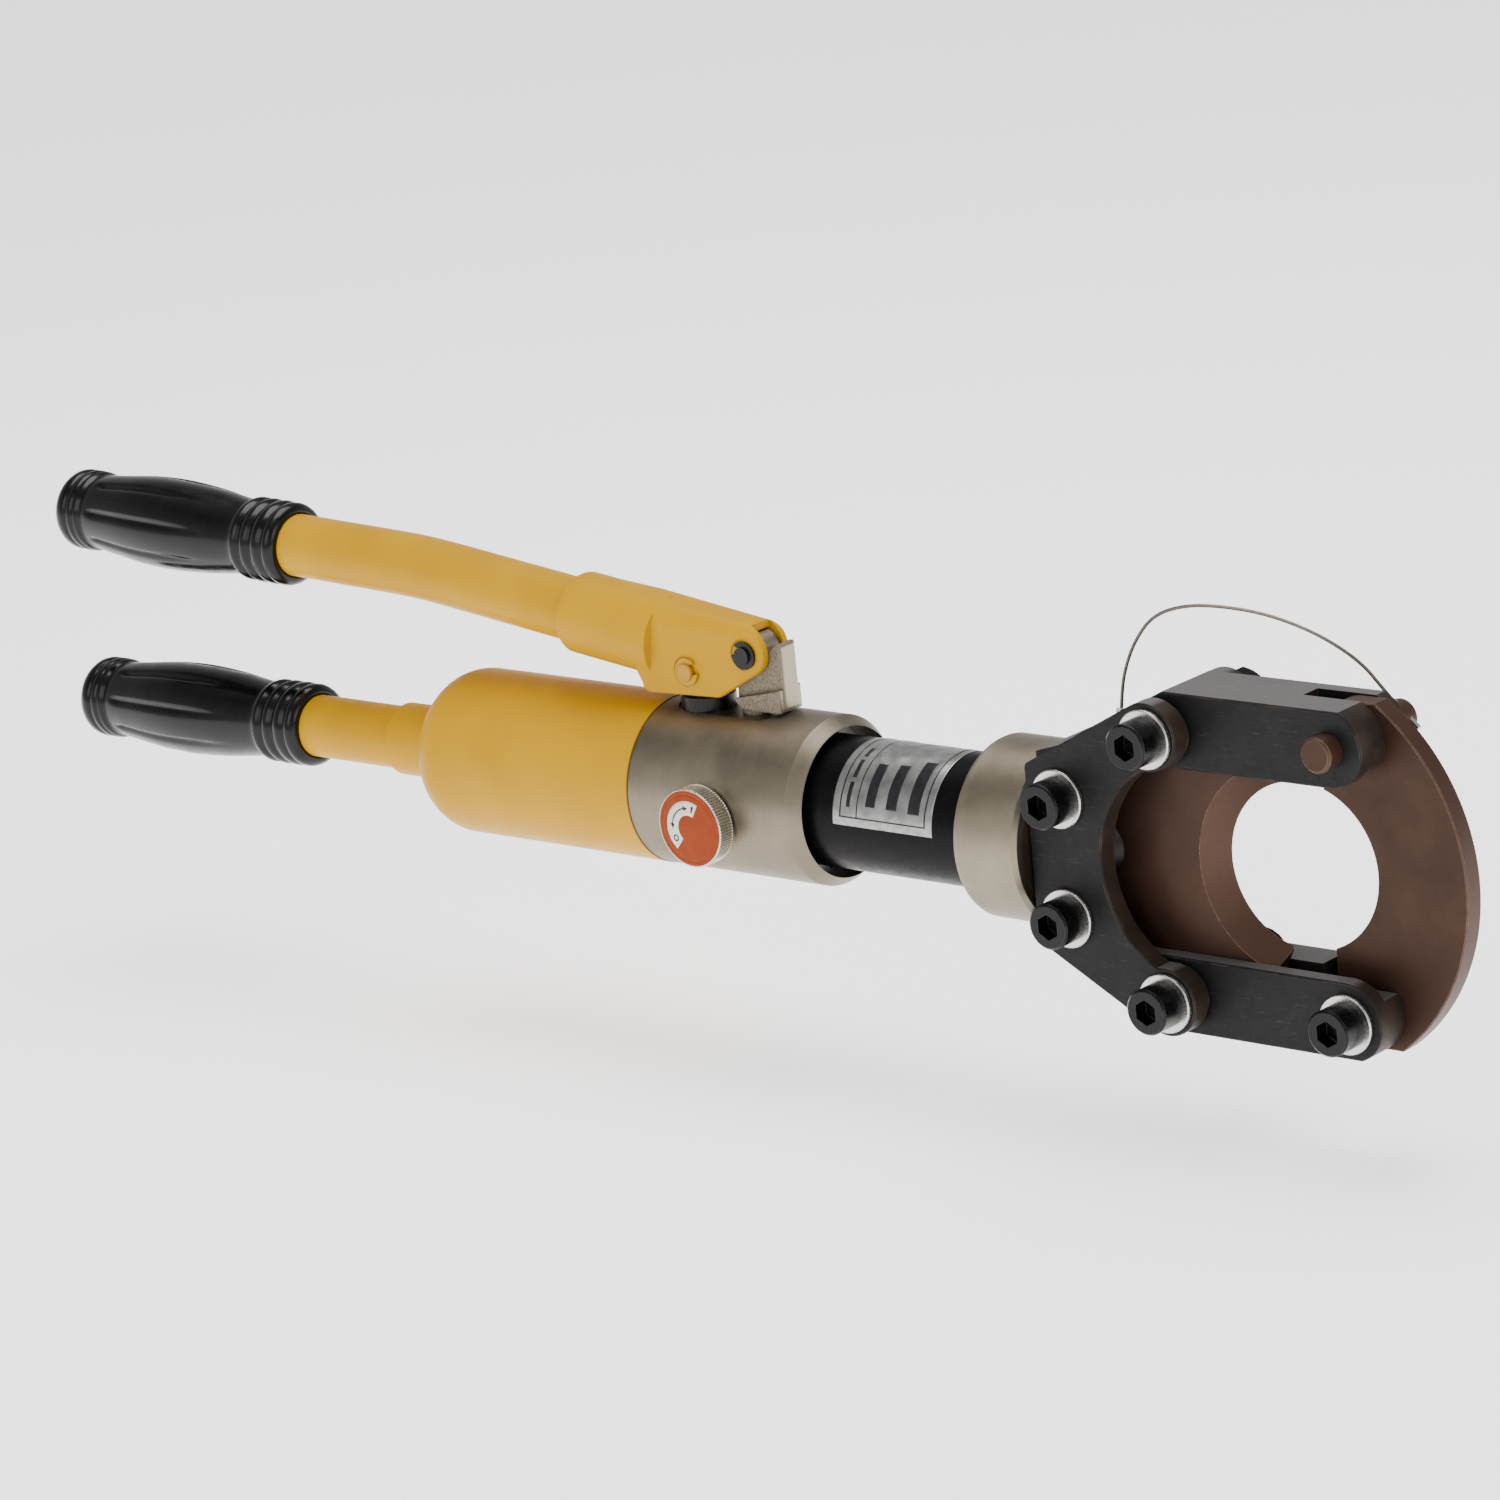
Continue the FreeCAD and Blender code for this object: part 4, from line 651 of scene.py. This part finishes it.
# ---- release knob -----------------------------------------------------------------------------
X_KNOB, Z_KNOB = -77.8, -4.0
Y_KNOB_FRONT, Y_KNOB_REAR = -38.7, -30.8
R_KNOB = 14.4
R_DISC = 13.8
R_STEM = 4.0
TEETH = 84
TOOTH_DEPTH = 0.5
DISC_SINK = 0.22        # from Y_KNOB_FRONT back to the middle of the disc
DISC_DOME = 0.30        # from there back to its edge
R_DISC_RING = 12.25     # of the small groove near the disc's edge
MARK_SINK = 0.21        # as DISC_SINK, for the marks laid over the disc
MARK_THICKNESS = 0.05


def on_knob(y, radius, turn):
    return (X_KNOB + radius * math.cos(turn), y, Z_KNOB + radius * math.sin(turn))


def knurled(depth):
    def radius(turn):
        share = (turn / (2 * math.pi) * TEETH) % 1.0
        return R_KNOB - depth * abs(2 * share - 1) ** 1.3

    return radius


def release_knob():
    rows = [(Y_KNOB_FRONT + 0.6, 0.0), (Y_KNOB_FRONT + 0.6, R_DISC), (Y_KNOB_FRONT + 0.65, R_KNOB - 0.3),
            (Y_KNOB_FRONT + 0.9, knurled(0.18)), (Y_KNOB_FRONT + 1.3, knurled(TOOTH_DEPTH)),
            (Y_KNOB_REAR - 1.0, knurled(TOOTH_DEPTH)), (Y_KNOB_REAR - 0.5, knurled(0.2)),
            (Y_KNOB_REAR, R_KNOB - 0.7), (Y_KNOB_REAR, R_STEM), (Y_KNOB_REAR, 0.0)]
    points, faces = lathe(rows, TEETH * 6, on_knob)
    knob = piece("release_knob_knurled", points, faces, "knob", KNURL, ("release_knob",))
    for polygon in knob.data.polygons:
        y = [knob.data.vertices[v].co.y / MM for v in polygon.vertices]
        if min(y) > Y_KNOB_FRONT + 0.85 and max(y) < Y_KNOB_REAR - 0.4:
            polygon.use_smooth = False


def knob_disc():
    rows = [(Y_KNOB_FRONT + DISC_SINK, 0.0)]
    for radius in (2, 4, 6, 8, 9.6, 10.8, 11.9, 12.1, 12.25, 12.4, 12.6, 13.1, 13.5):
        y = Y_KNOB_FRONT + DISC_SINK + DISC_DOME * (radius / R_DISC) ** 3
        y += 0.14 * math.exp(-((radius - R_DISC_RING) / 0.13) ** 2)
        rows.append((y, radius))
    y_back = Y_KNOB_FRONT + 0.62
    rows += [(Y_KNOB_FRONT + 0.56, R_DISC - 0.05), (y_back, R_DISC - 0.1), (y_back, 0.0)]
    points, faces = lathe(rows, 96, on_knob)
    piece("knob_disc_domed", points, faces, "knob", LOOKS["knob_paint"], ("knob_disc",))


def on_disc(radius, turn, height):
    """A point over the domed disc's face; turn is in degrees in the XZ plane."""
    y = Y_KNOB_FRONT + MARK_SINK + DISC_DOME * (radius / R_DISC) ** 3 - height
    return on_knob(y, radius, math.radians(turn))


def disc_patch(name, turns, radii, lift, material):
    points, faces = sheet(lambda u, v, h: on_disc(v, u, h + lift), turns, radii, MARK_THICKNESS)
    piece(name, points, faces, "knob", material)


def disc_flat(name, corners, lift, material):
    """Thin flat mark on the disc from (x, z) corners about the knob's axis."""
    points = []
    for height in (lift + MARK_THICKNESS, lift):
        for x, z in corners:
            radius = math.hypot(x, z)
            points.append(on_disc(radius, math.degrees(math.atan2(z, x)), height))
    n = len(corners)
    faces = [tuple(range(n)), tuple(range(2 * n - 1, n - 1, -1))]
    faces += [(i, n + i, n + (i + 1) % n, (i + 1) % n) for i in range(n)]
    piece(name, points, faces, "knob", material, smooth=False)


def knob_marks():
    """A double arrow on a pale band, with a stroke at its shut end and a ring at its open end."""
    disc_patch("knob_band", spread(62, 232, 40), [4.9, 6.0, 7.5, 9.0, 10.1], 0.02, BAND)
    disc_patch("knob_arrow_shaft", spread(102, 172, 24), [7.25, 7.5, 7.75], 0.08, LABEL_INK)
    for tag, turn, way in (("head_a", 98, -1), ("head_b", 176, 1)):
        corners = []
        for radius, offset in ((7.5, 15), (8.5, 0), (6.5, 0)):
            angle = math.radians(turn + way * (offset - 6))
            corners.append((radius * math.cos(angle), radius * math.sin(angle)))
        if way > 0:
            corners.reverse()
        disc_flat("knob_arrow_" + tag, corners, 0.09, LABEL_INK)
    disc_patch("knob_mark_shut", spread(70, 76, 6), [6.3, 7.5, 8.7], 0.08, LABEL_INK)
    ring_turn, ring_at, ring_r, ring_half_width = math.radians(212.0), 7.5, 1.0, 0.28
    cx, cz = ring_at * math.cos(ring_turn), ring_at * math.sin(ring_turn)

    def place(u, v, h):
        x, z = cx + v * math.cos(u), cz + v * math.sin(u)
        return on_disc(math.hypot(x, z), math.degrees(math.atan2(z, x)), h + 0.08)

    points, faces = sheet(place, spread(0, 2 * math.pi * 0.985, 28),
                          [ring_r - ring_half_width, ring_r, ring_r + ring_half_width], MARK_THICKNESS)
    piece("knob_mark_open", points, faces, "knob", LABEL_INK)


release_knob()
knob_disc()
knob_marks()


# ---- label on the cylinder --------------------------------------------------------------------
R_CYLINDER = 23.5
LABEL_X = (-24.0, 20.0)
LABEL_TURNS = (54.0, 180.0)     # degrees about +X from +Y towards +Z
MM_PER_DEGREE = 0.41            # along the cylinder's surface
FLAT_RIM = 3.0                  # the foil lies closer to the cylinder over this width
INK_LIFT = 0.08
INK_THICKNESS = 0.05
FOIL_BARS = ((-9.5, -5.4, 122, 162), (-0.4, 4.2, 120, 162), (9.2, 14.2, 113, 163))   # X and turn, from and to
FOIL_DASHES = ((104, 116), (120, 138), (142, 164))      # turn, from and to


def foil_height(x, turn):
    """Height of the foil's face over the cylinder: ripples, and creases that fade out at the rim."""
    ripple = noise.noise(Vector((x * 0.16, turn * 0.07, 0.0)))
    crease = abs(noise.noise(Vector((x * 0.11 + 7.3, turn * 0.045, 3.0)))) ** 0.7
    rim = min(x - LABEL_X[0], LABEL_X[1] - x,
              (turn - LABEL_TURNS[0]) * MM_PER_DEGREE, (LABEL_TURNS[1] - turn) * MM_PER_DEGREE)
    lift = min(max(rim / FLAT_RIM, 0.0), 1.0)
    return 0.10 + 0.16 * lift * (0.4 + 0.9 * ripple) - 0.14 * lift * crease + 0.08 * lift


def on_cylinder(x, turn, height):
    radius = R_CYLINDER + height
    angle = math.radians(turn)
    return (x, radius * math.cos(angle), radius * math.sin(angle))


def label_ink(name, x_low, x_high, turn_low, turn_high):
    """A printed mark that follows the foil, in steps of about 0.4 mm and 1 degree."""
    def place(x, turn, height):
        return on_cylinder(x, turn, foil_height(x, turn) + INK_LIFT + (height - INK_THICKNESS))

    xs = spread(x_low, x_high, max(int((x_high - x_low) / 0.4) + 2, 3))
    turns = spread(turn_low, turn_high, max(int((turn_high - turn_low) / 1.0) + 2, 3))
    points, faces = sheet(place, xs, turns, INK_THICKNESS)
    piece(name, points, [tuple(reversed(f)) for f in faces], "head", LABEL_INK)


def cylinder_label():
    """Foil with a plain printed border, a row of dashes and three bars."""
    x0, x1 = LABEL_X
    t0, t1 = LABEL_TURNS
    points, faces = sheet(lambda u, v, h: on_cylinder(u, v, foil_height(u, v) if h else 0.0),
                          spread(x0, x1, 111), spread(t0, t1, 127), 1.0)
    piece("label_foil", points, [tuple(reversed(f)) for f in faces], "head",
          LOOKS["label_film"], ("cylinder_label",))
    label_ink("label_line_rear", x0 + 3.2, x0 + 3.7, t0 + 6, t1 - 7)
    label_ink("label_line_inner", x0 + 10.6, x0 + 11.0, t0 + 6, t1 - 7)
    label_ink("label_line_front", x1 - 3.4, x1 - 2.9, t0 + 6, t1 - 7)
    label_ink("label_line_low", x0 + 3.2, x1 - 2.9, t1 - 8.2, t1 - 7.0)
    label_ink("label_line_high", x0 + 3.2, x1 - 2.9, t0 + 6.0, t0 + 7.2)
    for i, bar in enumerate(FOIL_BARS):
        label_ink("label_bar_%d" % (i + 1), *bar)
    for i, dash in enumerate(FOIL_DASHES):
        label_ink("label_dash_%d" % (i + 1), x0 + 6.0, x0 + 7.6, *dash)


cylinder_label()


def return_spring():
    """The CAD coil again, held by the piston at its rear end and carried along with the ram."""
    coil = link(bpy.data.objects.new("return_spring_coil", frame["nodes"]["return_spring"].data.copy()))
    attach(coil, "ram")
    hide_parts("return_spring")
    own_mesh(coil)


return_spring()


# ---- close ------------------------------------------------------------------------------------
bpy.context.view_layer.update()
